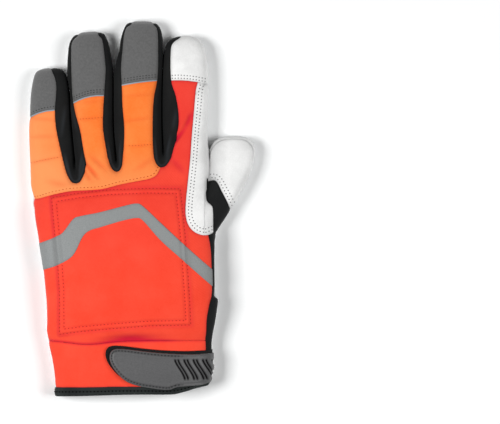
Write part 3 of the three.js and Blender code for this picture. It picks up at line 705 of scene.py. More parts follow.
def wrist_relief(p):
    """The fold over the wrist: a roll of cloth above the seam and a valley along it, both deepest in their
    middle."""
    x, up = p[:, 0], over_wrist(p)
    strong = 0.4 + 0.6 * bell(x - 8, 22)
    roll = 1.1 * bell(up - 7.5, 3.8) * strong
    valley = 1.05 * bell(up - 1.8 * strong, 2.8) * strong
    return roll - valley


def dents(p, table=DENTS):
    """Depth of the creases: each a valley, or a ridge, that dies away to both sides and at its two ends."""
    total = np.zeros(len(p))
    for k in range(len(table["wide"])):
        line = np.array([(table["x0"][k], table["y0"][k]), (table["x1"][k], table["y1"][k])])
        far, along, long = to_line(p, line)
        fade = limit(np.sin(np.pi * np.clip(along / long, 0.04, 0.96))) ** 0.5
        total += table["deep"][k] * fade * bell(far, table["wide"][k])
    return total


# soft folds of the black cloth, as in the table above
GUSSET_FOLDS = rows("x0 y0 x1 y1 wide deep", [
    (-27.6, 78.0, -25.5, 96.0, 1.1, -0.9),
    (-33.5, 79.0, -37.5, 95.0, 1.0, -0.6),
    (-5.6, 87.5, -8.0, 103.0, 0.9, -0.6),
    (1.0, 87.5, 1.6, 104.0, 0.9, -0.7),
    (26.8, 90.0, 25.0, 106.0, 0.9, -0.6),
    (33.0, 91.0, 36.0, 108.0, 1.1, -0.8),
    (-40.0, 108.0, -37.5, 128.0, 1.4, -0.7),
    (37.5, 112.0, 40.5, 126.0, 1.5, -0.6),
    (-30.0, 112.0, -33.0, 130.0, 1.2, -0.5),
])


def gusset_folds(p):
    """The folds of the black cloth, each a ridge."""
    return -dents(p, GUSSET_FOLDS) * limit((p[:, 2] - 6) / 4)


def thumb_seam(p):
    """The seam round the thumb's tip, between its upper and its lower leather, from 0 to 1 across its
    groove."""
    return bell(p[:, 2] - 12.4, 0.55) * limit((p[:, 1] - 84) / 12)


def leather_join(p):
    """The slanting seam that joins the finger's side leather to its cap, from 0 to 1 across its groove."""
    return bell(to_line(p, LEATHER_JOIN)[0], 0.6)


def relief(p, name):
    """All the relief of one piece, apart from its own seams."""
    x, y, z = p.T
    top_side = limit((z - 8) / 5)
    out = 0.22 * swell(p, 12, 3) * limit(z / 4)
    # the knuckle seam draws the little finger's side in
    out = out - 2.0 * bell(y - 65, 7) * limit((-46 - x) / 10) * limit(z / 3)
    if name in ("back_panel", "reflective_stripe"):
        out = out + pad_relief(p) * top_side
    if name in ("back_panel", "cuff_panel"):
        out = out + wrist_relief(p) * top_side
    if name in ("back_panel", "knuckle_panel"):
        out = out - dents(p) * top_side
    if name == "side_vent":
        # the stretch cloth steps out where it passes under the strap's loop
        step = 1 / (1 + np.exp((y + 5.4) / 0.6)) - 0.5
        out = out + 3.4 * step * np.exp(-np.abs(y + 5.4) / 11) * limit((x - 60) / 4)
    if name in GUSSETS:
        out = out + gusset_folds(p)
    if name == "thumb_leather":
        out = out - 0.5 * thumb_seam(p)
    if name == "index_side_leather":
        out = out - 0.35 * leather_join(p)
    if name == "palm_leather":
        # the leather's turned edge stands out along the little finger's side of the hand
        edge = bell(z - SEAM_Z + 0.9, 1.5)
        ends = limit((y + 40) / 10) * limit((72 - y) / 10)
        out = out + 1.5 * edge * limit((-20 - x) / 20) * ends
    return out * (z > 0.02)


def shade(p, name, inner):
    """Painted shade, from 0 to 1: the colour is darkened in folds, grooves and seams, where shade falls, and
    a little towards the fingers; the thumb's leather is darkened beside the index finger, where that finger's
    shadow falls on it."""
    x, y, top_side = p[:, 0], p[:, 1], limit((p[:, 2] - 8) / 5)
    # painted shade along each piece's seams
    total = 0.3 * bell(inner, 0.9)
    if name in ("back_panel", "cuff_panel"):
        # painted shade in the fold over the wrist and along its seam
        up = over_wrist(p)
        wide = bell(up - 2.2, 2.6) * bell(x - 8, 17)
        line = bell(up - 0.3, 1.1) * limit((46 - x) / 12)
        total = total + (0.95 * wide + 0.5 * line) * top_side
    if name in ("back_panel", "knuckle_panel"):
        # painted shade in the creases
        total = total + 0.55 * np.clip(dents(p), 0, 1.2) * top_side
    if name in ("back_panel", "reflective_stripe"):
        # painted shade in the pad's grooves and just outside its edge, more on the little finger's side
        d = -to_outline(p, PAD_OUTLINE)
        edge = bell(d + 1.2, 1.2) * (0.2 + 0.15 * limit((-30 - x) / 8))
        total = total + (0.22 * pad_grooves(d) + edge) * top_side
    if name == "back_panel":
        # a little darker towards the fingers
        total = total + 0.17 * limit((y - 10) / 50) + 0.13 * limit((y - 80) / 15)
    if name == "thumb_leather":
        # painted shade in the thumb's seam groove, and painted shadow of the index finger on the thumb's left
        # side
        total = total + 0.55 * thumb_seam(p) + 0.6 * limit((77 - x) / 12)
    if name == "index_side_leather":
        # painted shade in the groove of the slanting seam
        total = total + 0.35 * leather_join(p)
    return limit(total)


def painted_light(p, name, inner):
    """How much painted light lightens the cloth, from 0 to 1: the orange most over the little finger's
    knuckle, on its lit side, and least at the middle of the hand and up the fingers; the black as painted
    highlights along its folds and where it turns up in a crotch."""
    x, y = p[:, 0], p[:, 1]
    if name in GUSSETS:
        # painted highlight where the black turns up in a crotch, and on the ridges of its folds
        turned_up = 0.6 * bell(inner - 1.2, 0.6) * limit((95 - y) / 8)
        return limit(turned_up + 0.7 * gusset_folds(p))
    if name != "knuckle_panel":
        return np.zeros(len(p))
    # painted light: the orange is lighter towards the little finger's side and the knuckles
    return np.clip(0.62 * limit((-18 - x) / 40) + 0.45 * limit((100 - y) / 24), 0, 0.75)


def finger_edge(f, y, end):
    """Plan x of a finger's left (-1) or right (1) edge at plan heights y."""
    at = (y - f["base"][1]) / (f["long"] * f["way"][1])
    across = (column(f["rows"], "centre", at) + end * column(f["rows"], "half", at)) * f["wide"]
    return f["base"][0] + at * f["long"] * f["way"][0] + across * f["side"][0]


def settled(p):
    """Where the cloth really lies: neighbouring fingers lean on each other, the thumb lies against the
    hand, and the mouth hangs lower left of the strap. A finger's side moves by half of the gap where that
    is small."""
    moved = p.copy()
    x, y = p[:, 0], p[:, 1]
    rise = limit((y - 84) / 10)
    for a, b in zip(FINGERS[:3], FINGERS[1:]):
        left, right = finger_edge(a, y, 1), finger_edge(b, y, -1)
        gap = np.clip(right - left, 0, 40)
        tip = min(f["base"][1] + f["long"] for f in (a, b))
        rise_here = rise * limit((tip - 13 - y) / 14)
        move = np.clip(gap * limit(1.3 - gap / 9.5) - 0.3, 0, 8) / 2 * rise_here
        middle = (left + right) / 2
        for f, end, mine in ((a, 1, x <= middle), (b, -1, x > middle)):
            mine_left, mine_right = finger_edge(f, y, -1), finger_edge(f, y, 1)
            own, half = (mine_left + mine_right) / 2, np.maximum((mine_right - mine_left) / 2, 3)
            share = limit(end * (x - own) / half)
            moved[:, 0] += np.where(
                mine & (share > 0) & (np.abs(x - own) < half + 4), end * move * share**2, 0,
            )
    on_thumb = (x > 60) & (y > 40)
    if on_thumb.any():
        moved[on_thumb, 0] -= (THUMB_CLEAR - 0.25) * limit(0.5 - nearer_thumb(p[on_thumb]))
    low = limit((-50 - y) / 12)
    moved[:, 1] += column(MOUTH, "drop", x) * smooth(low)
    return moved


MOUTH = rows(
    "at drop",
    [
        (-60, 0), (-44, 0), (-20, -1.0), (0, -1.7), (20, -2.9), (38, -4.0), (47, -2.6), (54, -1.0),
        (62, 0), (80, 0),
    ],
)


def trim(verts, tris, value):
    """The part of a mesh where value is below 0. A triangle that the line crosses is cut there."""
    inside = value < 0
    count = inside[tris].sum(axis=1)
    whole = tris[count == 3]

    def turned(kind, odd):
        part = tris[count == kind]
        first = np.argmax(inside[part] == odd, axis=1)
        return np.stack([part[np.arange(len(part)), (first + k) % 3] for k in range(3)], axis=1)

    one, two = turned(1, True), turned(2, False)
    ends = np.concatenate([one[:, [0, 1]], one[:, [0, 2]], two[:, [0, 1]], two[:, [0, 2]]])
    pairs, which = np.unique(np.sort(ends, axis=1), axis=0, return_inverse=True)
    which = which.reshape(-1) + len(verts)
    a, b = pairs.T
    t = value[a] / (value[a] - value[b])
    verts = np.concatenate([verts, verts[a] + t[:, None] * (verts[b] - verts[a])])
    c = np.split(which, np.cumsum([len(one), len(one), len(two)]))
    cut = [
        np.stack([one[:, 0], c[0], c[1]], axis=1),
        np.stack([c[2], two[:, 1], two[:, 2]], axis=1),
        np.stack([c[2], two[:, 2], c[3]], axis=1),
    ]
    tris = np.concatenate([whole] + cut)
    used, tris = np.unique(tris, return_inverse=True)
    return verts[used], tris.reshape(-1, 3)


# Meshes


def placed(name, data):
    """A new object in the scene."""
    made = bpy.data.objects.new(name, data)
    bpy.context.scene.collection.objects.link(made)
    return made


def new_piece(name, verts, faces, material, slot, node=None, **held):
    """A shown piece on the glove's one body, from points in mm and faces, with the values that its points
    hold."""
    mesh = bpy.data.meshes.new(name)
    mesh.from_pydata((verts * MM).tolist(), [], faces.tolist())
    mesh.polygons.foreach_set("use_smooth", np.ones(len(mesh.polygons), bool))
    mesh.materials.append(material)
    mesh.update()
    for key, values in held.items():
        mesh.attributes.new(key, "FLOAT", "POINT").data.foreach_set("value", values.astype(np.float32))
    piece = placed(name, mesh)
    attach(piece, "root")
    if node:
        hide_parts(node)
    return piece


def one_piece(name, parts, look, slot):
    """One piece from many loose bodies, each given as its points and its faces."""
    bodies, faces = zip(*parts)
    starts = np.cumsum([0] + [len(body) for body in bodies[:-1]])
    faces = [own + start for own, start in zip(faces, starts)]
    return new_piece(name, np.concatenate(bodies), np.concatenate(faces), look, slot)


def give_thickness(piece, thick):
    """Cut edges of the given thickness, turned inwards from the worked-out surface. The inner face is the
    lining's."""
    made = piece.modifiers.new("wall", "SOLIDIFY")
    made.thickness = thick * MM
    made.offset = -1
    made.use_rim_only = True
    return piece


def lines_to_faces(across, along, closed):
    """Faces of a grid of across by along points, row by row; closed joins its last point across to its
    first."""
    i, j = np.meshgrid(np.arange(across if closed else across - 1), np.arange(along - 1), indexing="ij")
    i, j = i.ravel(), j.ravel()
    k = (i + 1) % across
    return np.stack([j * across + i, j * across + k, (j + 1) * across + k, (j + 1) * across + i], axis=1)


# Materials


def linear(code):
    """An sRGB hex value as a linear colour."""
    srgb = np.array([int(code[k : k + 2], 16) for k in (1, 3, 5)]) / 255
    return (*np.where(srgb <= 0.04045, srgb / 12.92, ((srgb + 0.055) / 1.055) ** 2.4).tolist(), 1.0)


def add(tree, kind, settings=None, inputs=None, stops=None):
    """Adds one shader node. An input is a value, or another node's output to link; stops are a ramp's
    places and colours."""
    made = tree.nodes.new("ShaderNode" + kind)
    for name, value in (settings or {}).items():
        setattr(made, name, value)
    for name, value in (inputs or {}).items():
        if isinstance(value, bpy.types.NodeSocket):
            tree.links.new(value, made.inputs[name])
        else:
            made.inputs[name].default_value = value
    if stops:
        ramp = made.color_ramp
        while len(ramp.elements) < len(stops):
            ramp.elements.new(0.5)
        for element, (place, colour) in zip(ramp.elements, stops):
            element.position = place
            element.color = linear(colour)
    return made


def material(name, **surface):
    """An empty material with its Principled shader, whose own sockets take the values that are the same all
    over."""
    made = bpy.data.materials.new(name)
    made.use_nodes = True
    tree = made.node_tree
    tree.nodes.clear()
    shader = add(tree, "BsdfPrincipled", inputs=surface)
    add(tree, "OutputMaterial", inputs={"Surface": shader.outputs["BSDF"]})
    place = add(tree, "TexCoord").outputs["Object"]
    return made, tree, shader, place


def toward(tree, tone, other, share):
    """A colour mixed towards another by a named value that the mesh holds at each point."""
    here = add(tree, "Attribute", {"attribute_name": share})
    return add(
        tree, "Mix", {"data_type": "RGBA"}, {0: here.outputs["Fac"], 6: tone, 7: linear(other)},
    ).outputs[2]


def coloured(tree, shader, pattern, stops, deep, pale=None):
    """Two tones of the dye laid by a pattern, made paler by the painted light that the mesh holds, and darker
    towards the deep tone, which is painted shade, by its shade."""
    colour = add(tree, "ValToRGB", inputs={"Fac": pattern}, stops=stops).outputs["Color"]
    if pale:
        colour = toward(tree, colour, pale, "painted_light")
    tree.links.new(toward(tree, colour, deep, "shade"), shader.inputs["Base Color"])


def embossed(tree, shader, height, strength, depth, **under):
    """The surface's fine relief from a height; depth is in mm, and under is the relief that it lies on."""
    held = {"Height": height, "Strength": strength, "Distance": depth * MM, **under}
    normal = add(tree, "Bump", inputs=held).outputs["Normal"]
    tree.links.new(normal, shader.inputs["Normal"])
    return normal


def knitted_cloth(name, low, high, deep, pale=None, thread=0.9, rough=0.82, sheen=0.08, depth=0.1):
    """Polyester stretch cloth with a brushed inside, as on softshell jackets: an even matt surface with a
    faint fine rib, slightly cloudy in tone. The rib is really 0.4 mm apart and is drawn at about 0.9 mm so
    that it shows."""
    made, tree, shader, place = material(
        name,
        **{"Roughness": rough, "Sheen Weight": sheen, "Sheen Roughness": 0.5, "Specular IOR Level": 0.2},
    )
    cloud = add(
        tree, "TexNoise", inputs={"Vector": place, "Scale": 1 / (22 * MM), "Detail": 4.0, "Roughness": 0.6},
    )
    fleck = add(tree, "TexNoise", inputs={"Vector": place, "Scale": 1 / (1.1 * MM), "Detail": 2.0})
    both = add(
        tree, "Math", {"operation": "MULTIPLY_ADD"},
        {0: fleck.outputs["Fac"], 1: 0.35, 2: cloud.outputs["Fac"]},
    )
    coloured(tree, shader, both.outputs["Value"], [(0.45, low), (0.85, high)], deep, pale)
    rib = add(
        tree, "TexWave", {"wave_type": "BANDS", "bands_direction": "DIAGONAL"},
        {
            "Vector": place, "Scale": 0.31 / (thread * MM), "Distortion": 1.5, "Detail": 1.0,
            "Detail Scale": 3.0,
        },
    )
    mix = add(
        tree, "Math", {"operation": "MULTIPLY_ADD"},
        {0: fleck.outputs["Fac"], 1: 0.8, 2: rib.outputs["Fac"]},
    )
    embossed(tree, shader, mix.outputs["Value"], 0.35, depth)
    return made


def grained_leather(name, low, high, deep):
    """Goatskin, tanned white and soft: a low sheen, fine pebbled grain about 1.2 mm across and long soft
    wrinkles, a little greyer in the hollows of the grain."""
    made, tree, shader, place = material(
        name, **{"Roughness": 0.52, "Specular IOR Level": 0.35, "Sheen Weight": 0.08},
    )
    grain = add(
        tree, "TexVoronoi", {"feature": "DISTANCE_TO_EDGE"},
        {"Vector": place, "Scale": 1 / (1.2 * MM), "Randomness": 1.0},
    )
    pebble = add(
        tree, "ValToRGB", inputs={"Fac": grain.outputs["Distance"]},
        stops=[(0.0, "#000000"), (0.35, "#ffffff")],
    )
    cloud = add(
        tree, "TexNoise",
        inputs={"Vector": place, "Scale": 1 / (14 * MM), "Detail": 5.0, "Roughness": 0.62},
    )
    both = add(
        tree, "Math", {"operation": "MULTIPLY_ADD"},
        {0: pebble.outputs["Color"], 1: 0.16, 2: cloud.outputs["Fac"]},
    )
    coloured(tree, shader, both.outputs["Value"], [(0.4, low), (0.75, high)], deep)
    fine = embossed(tree, shader, pebble.outputs["Color"], 0.4, 0.08)
    folds = add(
        tree, "TexNoise", inputs={"Vector": place, "Scale": 1 / (6 * MM), "Detail": 3.0, "Distortion": 0.6},
    )
    embossed(tree, shader, folds.outputs["Fac"], 0.35, 0.5, Normal=fine)
    return made


def napped_suede(name, low, high, deep):
    """Synthetic suede, or the fleece of a lining: no gloss, and a short nap that mottles in patches of 1 to
    2 mm and catches light at its edges."""
    made, tree, shader, place = material(
        name,
        **{"Roughness": 0.95, "Specular IOR Level": 0.15, "Sheen Weight": 0.35, "Sheen Roughness": 0.6},
    )
    nap = add(
        tree, "TexNoise",
        inputs={"Vector": place, "Scale": 1 / (1.4 * MM), "Detail": 6.0, "Roughness": 0.7},
    )
    coloured(tree, shader, nap.outputs["Fac"], [(0.3, low), (0.7, high)], deep)
    embossed(tree, shader, nap.outputs["Fac"], 0.5, 0.12)
    return made


def glass_bead_film(name, low, high, deep):
    """Reflective band: cloth coated with glass beads far too small to see, so a flat satin grey with a fine
    grit, drawn at 0.7 mm so that it shows."""
    made, tree, shader, place = material(
        name, **{"Roughness": 0.65, "Metallic": 0.05, "Specular IOR Level": 0.3},
    )
    grit = add(tree, "TexNoise", inputs={"Vector": place, "Scale": 1 / (0.7 * MM), "Detail": 3.0})
    coloured(tree, shader, grit.outputs["Fac"], [(0.3, low), (0.7, high)], deep)
    embossed(tree, shader, grit.outputs["Fac"], 0.25, 0.05)
    return made


def moulded_rubber(name, low, high, deep):
    """Thermoplastic rubber from a sparked mould: dark grey, satin, with a fine even stipple about 0.8 mm
    apart. Its grooves are painted near black and dull, as the shade in them, because no light comes back out
    of them."""
    made, tree, shader, place = material(name, **{"Roughness": 0.5})
    # painted shade: each point's shade darkens the grooves and turns down their gloss
    depth = add(tree, "Attribute", {"attribute_name": "shade"})
    gloss = add(tree, "Math", {"operation": "MULTIPLY_ADD"}, {0: depth.outputs["Fac"], 1: -0.36, 2: 0.38})
    tree.links.new(gloss.outputs["Value"], shader.inputs["Specular IOR Level"])
    stipple = add(tree, "TexNoise", inputs={"Vector": place, "Scale": 1 / (0.8 * MM), "Detail": 2.0})
    coloured(tree, shader, stipple.outputs["Fac"], [(0.3, low), (0.7, high)], deep)
    embossed(tree, shader, stipple.outputs["Fac"], 0.3, 0.06)
    return made


def sewing_thread(name, colour, shine=0.2):
    """Bonded polyester thread: a slightly shiny strand, coloured darker than the cloth that it holds, partly
    its own dye and partly painted shade of the needle holes.
    """
    return material(name, **{"Roughness": 0.7, "Specular IOR Level": shine, "Base Color": linear(colour)})[0]


# Each look's third colour is its deep tone: painted shade, mixed in by the shade that each point holds.
RED = knitted_cloth("red_softshell", "#f44229", "#fb4d35", "#cd1030")
# The orange's pale tone and the black's fourth colour are painted light, mixed in by each point's painted
# light.
ORANGE = knitted_cloth("orange_softshell", "#f77528", "#fc863c", "#e04a1a", pale="#ff9f62")
BLACK = knitted_cloth(
    "black_neoprene_knit", "#0e0f10", "#181919", "#020202", "#2c3034", rough=0.85, sheen=0.04, depth=0.08,
)
SUEDE = napped_suede("grey_synthetic_suede", "#585858", "#686868", "#303030")
LEATHER = grained_leather("white_goatskin", "#e6e6e5", "#f6f6f5", "#a4a4a4")
FILM = glass_bead_film("grey_reflective_film", "#858888", "#919494", "#6c6d6d")
RUBBER = moulded_rubber("grey_moulded_rubber", "#515152", "#5c5c5d", "#010101")
BINDING = knitted_cloth("black_elastic_binding", "#1b1f1f", "#2b302f", "#030303", thread=0.7, sheen=0.05)
PIPING = knitted_cloth("steel_blue_piping", "#8b99a5", "#a1acb5", "#5c6670", thread=0.6)
FLEECE = napped_suede("grey_fleece_lining", "#38393b", "#4a4b4d", "#1d1d1e")

PIECES = {  # material, slot, and how deep and how wide the edge is drawn in at the seams
    "palm_leather": (LEATHER, "white_leather", 0.5, 1.4),
    "thumb_leather": (LEATHER, "white_leather", 0.7, 1.5),
    "index_side_leather": (LEATHER, "white_leather", 0.45, 1.3),
    "cap_index": (LEATHER, "white_leather", 0.4, 1.2),
    "cap_pinky": (SUEDE, "grey_suede", 0.35, 1.0),
    "cap_ring": (SUEDE, "grey_suede", 0.35, 1.0),
    "cap_middle": (SUEDE, "grey_suede", 0.35, 1.0),
    "knuckle_panel": (ORANGE, "orange_stretch_cloth", 0.55, 1.3),
    "back_panel": (RED, "red_stretch_cloth", 0.4, 1.2),
    "cuff_panel": (RED, "red_stretch_cloth", 0.3, 1.2),
    "reflective_stripe": (FILM, "reflective_band", 0.0, 1.0),
}
SEWN_IN = (BLACK, "black_stretch_cloth", 0.55, 1.3)  # every other piece

# The sewn skin

GRID = 0.8
SEAM_HALF = 0.05  # half of the open line between two sewn edges
STRIPE_THICK = 0.5
BACKING_THICK = 1.2
TAB_THICK = 1.8

skin, squares = level_surface((-72, -80, -1.3), (102, 194, 36), GRID)
skin = onto_wall(skin, 2)
triangles = np.concatenate([squares[:, [0, 1, 2]], squares[:, [0, 2, 3]]])


ROWS = {  # the seam line that a piece's rows of stitching follow, and how far from it they run
    "index_side_leather": (WRAP_EDGE, (2.1, 4.4)),
    "cap_index": (cap_edge(3, 0.1), (1.5, 3.6)),
    "thumb_leather": (THUMB_TOP, (1.9, 4.3)),
    "cap_pinky": (cap_edge(0, 0.1), (2.5,)),
    "cap_ring": (cap_edge(1, 0.1), (2.4, 4.0)),
    "cap_middle": (cap_edge(2, 0.1), (2.4, 4.0)),
    "knuckle_panel": (KNUCKLE_SEAM, (1.9,)),
}


def edge_relief(p, name, inner):
    """Relief near a piece's edge: it is drawn in at the seam, and dips a little under each row of
    stitching."""
    _, _, deep, wide = PIECES.get(name, SEWN_IN)
    out = seam_tuck(inner, deep, wide)
    if name in ROWS:
        line, places = ROWS[name]
        far = to_line(p, line)[0]
        out = out - 0.16 * sum(bell(far - place, 0.7) for place in places) * limit(p[:, 2] - 6)
    return out


def dressed(p, name, tuck):
    """Points on the wall, moved out along its slope by the relief and the tuck, and then settled."""
    out = unit(wall_slope(p))
    return settled(p + out * (relief(p, name) + tuck)[:, None])


def sew(name, value, lift=0.0, thick=WALL):
    """One sewn piece: the skin where value is below 0, drawn in along its seams."""
    above_hem = SEAM_HALF - hem_end(skin)
    value = highest(value + SEAM_HALF, above_hem)
    verts, tris = trim(np.column_stack([skin, value]), triangles, value)
    p, inner = verts[:, :3], -verts[:, 3]
    shown = dressed(p, name, edge_relief(p, name, inner) * (p[:, 2] > 0.5) + lift)
    look, slot, _, _ = PIECES.get(name, SEWN_IN)
    tones = {"shade": shade(p, name, inner), "painted_light": painted_light(p, name, inner)}
    return give_thickness(new_piece(name, shown, tris, look, slot, name, **tones), thick)


values = cut_from(skin, BACK_PIECES)
for name, _ in BACK_PIECES:
    piece = sew(name, values[name])
sew(
    "reflective_stripe",
    highest(to_outline(skin, STRIPE_OUTLINE), SEAM_Z + 0.6 - skin[:, 2], values["back_panel"]),
    lift=0.3,
    thick=STRIPE_THICK,
)

# Hem binding: a folded tape whose rounded profile is carried round the mouth


def power(v, n):
    """The n-th power of a value's size, with the value's sign."""
    return np.sign(v) * np.abs(v) ** n


FINE_SIDES = 720  # points of a ring before they are spread evenly
HEM_SIDES = 520
LINING_SIDES = 120


def palm_ring(at, sides, out=0.0):
    """Points round the hand's tube at one share of its length, moved out by a distance."""
    angle = np.linspace(0, 2 * np.pi, sides, endpoint=False)
    at = np.broadcast_to(at, angle.shape)
    left, right, tilt, top = palm_sizes(at)
    half = (right - left) / 2 + out
    middle = top * EQUATOR
    up = np.sin(angle) > 0
    n = fullness(up, half)
    reach, rise = power(np.cos(angle), 2 / n), power(np.sin(angle), 2 / n)
    x = (left + right) / 2 + reach * half
    y = at * BACK - HEEL + reach * tilt
    z = middle + rise * np.where(up, top - middle + out, middle + min(out, 0))
    return np.stack([x, y, z], axis=1)


def even_ring(ring, count):
    """The same closed line with its points spread evenly along it."""
    closed = np.vstack([ring, ring[:1]])
    return along_line(closed, np.linspace(0, lengths(closed)[-1], count, endpoint=False))


def hem_binding():
    """The tape's section is a long loop round the wall's edge: out over the cuff, round the mouth and back
    inside. Each of its points has a share up the cuff and a distance out from the wall."""
    turn = np.linspace(0, 2 * np.pi, 29)[:-1]
    up = 0.5 - 0.5 * power(np.cos(turn), 0.7)
    out = -0.8 + 1.65 * power(np.sin(turn), 0.6)
    stitched = 0.22 * bell(up - 0.55, 0.1) * (np.sin(turn) > 0.2)
    places = zip(up * (HEM_WIDE + 0.1) / BACK, out - stitched)
    rings = [even_ring(palm_ring(at, FINE_SIDES, far), HEM_SIDES) for at, far in places]
    verts = settled(np.concatenate(rings))
    verts[:, 2] = np.maximum(verts[:, 2], 0)
    # the last ring joins the first
    faces = lines_to_faces(HEM_SIDES, len(rings) + 1, True) % len(verts)
    # painted shade along the groove where the binding is stitched
    shades = np.repeat(limit(2.6 * stitched), HEM_SIDES)
    return new_piece(
        "hem_binding", verts, faces[:, ::-1], BINDING, "black_stretch_cloth", "hem_binding", shade=shades,
    )


hem_binding()

# Wrist strap: a backing and a moulded tab that follow the cuff and turn under its thumb side

TAB_TOP = 27.7 - HEEL
TAB_OUTLINE = curve(
    [
        (72, -43.4), (60, -44.0), (49.5, -44.3), (39, -44.0), (28.5, -43.3), (18, -42.2), (7.5, -40.8),
        (0.5, -40.3), (-2.3, -40.6), (-4.4, -41.6), (-5.8, -43.6), (-6.3, -46.9),
    ]
    + [
        (-5.5, -50.4), (-3.7, -53.9), (-1.6, -56.7), (1.2, -59.8), (4.7, -62.6), (8.2, -64.4),
        (12.4, -65.8), (16.6, -66.8), (21.5, -67.6), (28.5, -68.6), (33.6, -69.1), (36.4, -68.6),
    ]
    + [(39, -67.5), (42.5, -66.8), (48.1, -66.4), (56.5, -65.7), (62.0, -64.4), (72, -63.6)],
    4,
)
BACKING_OUTLINE = TAB_OUTLINE + (-2.8, 2.0)


def cuff_sheet(step):
    """The cuff's own surface as a grid: an angle round the hand's tube by a share along it, from the
    strap's free end over the back to below the thumb side."""
    shares = np.arange(0.2, 38, step) / BACK
    rings = np.array([palm_ring(at, 2 * FINE_SIDES) for at in shares])
    angle = np.linspace(0, 360, 2 * FINE_SIDES, endpoint=False)
    order = np.concatenate([np.where(angle >= 340)[0], np.where(angle < 130)[0]])
    rings = rings[:, order]
    middle = rings[len(rings) // 2]
    length = lengths(middle)
    at = np.arange(0, length[-1], step)
    even = np.stack([[np.interp(at, length, ring[:, k]) for k in range(3)] for ring in rings])
    points = np.moveaxis(even, 1, 2)
    count = len(at)
    return points.reshape(-1, 3), lines_to_faces(count, len(shares), False)[:, ::-1]


def grid_slope(points, faces):
    """Mean outward way at each point of a grid of squares."""
    a, b, c, d = (points[faces[:, k]] for k in range(4))
    way = np.cross(c - a, d - b)
    total = np.zeros_like(points)
    for k in range(4):
        np.add.at(total, faces[:, k], way)
    return unit(total)


sheet_points, sheet_faces = cuff_sheet(0.4)
sheet_out = grid_slope(sheet_points, sheet_faces)
if (sheet_out[:, 2].mean()) < 0:
    sheet_out, sheet_faces = -sheet_out, sheet_faces[:, ::-1]
sheet_tris = np.concatenate([sheet_faces[:, [0, 1, 2]], sheet_faces[:, [0, 2, 3]]])


def tab_grooves(p, d):
    """The tab's hollows, each from 0 to 1: five pairs of slanting grooves near the thumb side, and one groove
    1.6 mm in from the edge that carries the stitching. d is the distance in from the outline."""
    t = limit((TAB_TOP - p[:, 1] - 4) / 15.5)
    place = (p[:, 0] - 6.9 * smooth(t) - 38.9) / 6.2
    lane = place - np.floor(place + 0.15)
    pair = 1.4 * (bell(lane, 0.1) + bell(lane - 0.35, 0.1))
    down = TAB_TOP - p[:, 1]
    ends = limit((down - 4.6) / 1.2) * limit((19.4 - down) / 1.2)
    ribs = limit(pair) * (place > -0.15) * (place < 4.5) * ends
    return ribs, bell(d - 1.6, 0.5) * limit((46 - p[:, 0]) / 5)


def tab_relief(p, d):
    """The moulded tab: a rounded edge, a raised rim, and its grooves."""
    ribs, groove = tab_grooves(p, d)
    edge = -1.1 * limit(1 - d / 0.9) ** 2
    rim = 0.35 * bell(d - 0.8, 0.6) + 0.15 * bell(d - 3.2, 1.0)
    return edge + rim - 0.9 * ribs - 0.45 * groove


def tab_shade(p, d):
    """Painted shade in the ribs' grooves and along the stitched one, which is dashed at 2.3 mm from stitch to
    stitch to mark the stitches.
    """
    ribs, groove = tab_grooves(p, d)
    _, along, _ = to_line(p, TAB_OUTLINE)
    dash = 0.55 + 0.35 * np.sin(2 * np.pi * along / 2.3)
    return limit(ribs + groove * dash)


def flat_relief(p, d):
    """The backing: flat, with a rounded edge 0.8 mm wide. d is the distance in from the outline."""
    return -0.5 * limit(1 - d / 0.8) ** 2


def strap(name, outline, under, thick, look, slot, carve, darken=None):
    """One layer of the strap: the cuff's own surface moved out, and cut to its outline. It hugs the cuff's
    side."""
    value = highest(to_outline(sheet_points, outline), 4.2 - sheet_points[:, 2])
    data = np.column_stack([sheet_points, sheet_out, value])
    verts, tris = trim(data, sheet_tris, value)
    p, out, d = verts[:, :3], unit(verts[:, 3:6]), -verts[:, 6]
    lift = (under + thick) * (1 - 0.72 * np.abs(out[:, 0])) + carve(p, d)
    # the tab's painted shade, held at each point
    held = {"shade": darken(p, d)} if darken else {}
    return give_thickness(new_piece(name, p + out * lift[:, None], tris, look, slot, name, **held), thick)


strap("strap_backing", BACKING_OUTLINE, 1.1, BACKING_THICK, BLACK, "black_stretch_cloth", flat_relief)
strap("strap_tab", TAB_OUTLINE, 2.6, TAB_THICK, RUBBER, "moulded_rubber", tab_relief, tab_shade)

# Stitching: short strands of thread laid along the seams


def on_back(xy, name, lift):
    """Points on the glove's back over plan points, found by halving the height between inside and outside.
    Gives the places on the dressed piece, the ways out of it, and the distances to the piece's edge."""
    low = np.column_stack([xy, np.full(len(xy), 5.0)])
    high = np.column_stack([xy, np.full(len(xy), 38.0)])
    for _ in range(16):
        middle = (low + high) / 2
        inside = glove_wall(middle) < 0
        low[inside], high[~inside] = middle[inside], middle[~inside]
    p = (low + high) / 2
    edge = cut_from(p, BACK_PIECES)[name]
    return dressed(p, name, edge_relief(p, name, -edge) + lift), unit(wall_slope(p)), edge


def spaced(line, pitch):
    """Points at an even pitch along a line, and the line's way at each."""
    at = np.arange(pitch / 2, lengths(line)[-1], pitch)
    return along_line(line, at), unit(along_line(line, at + 0.3) - along_line(line, at - 0.3))


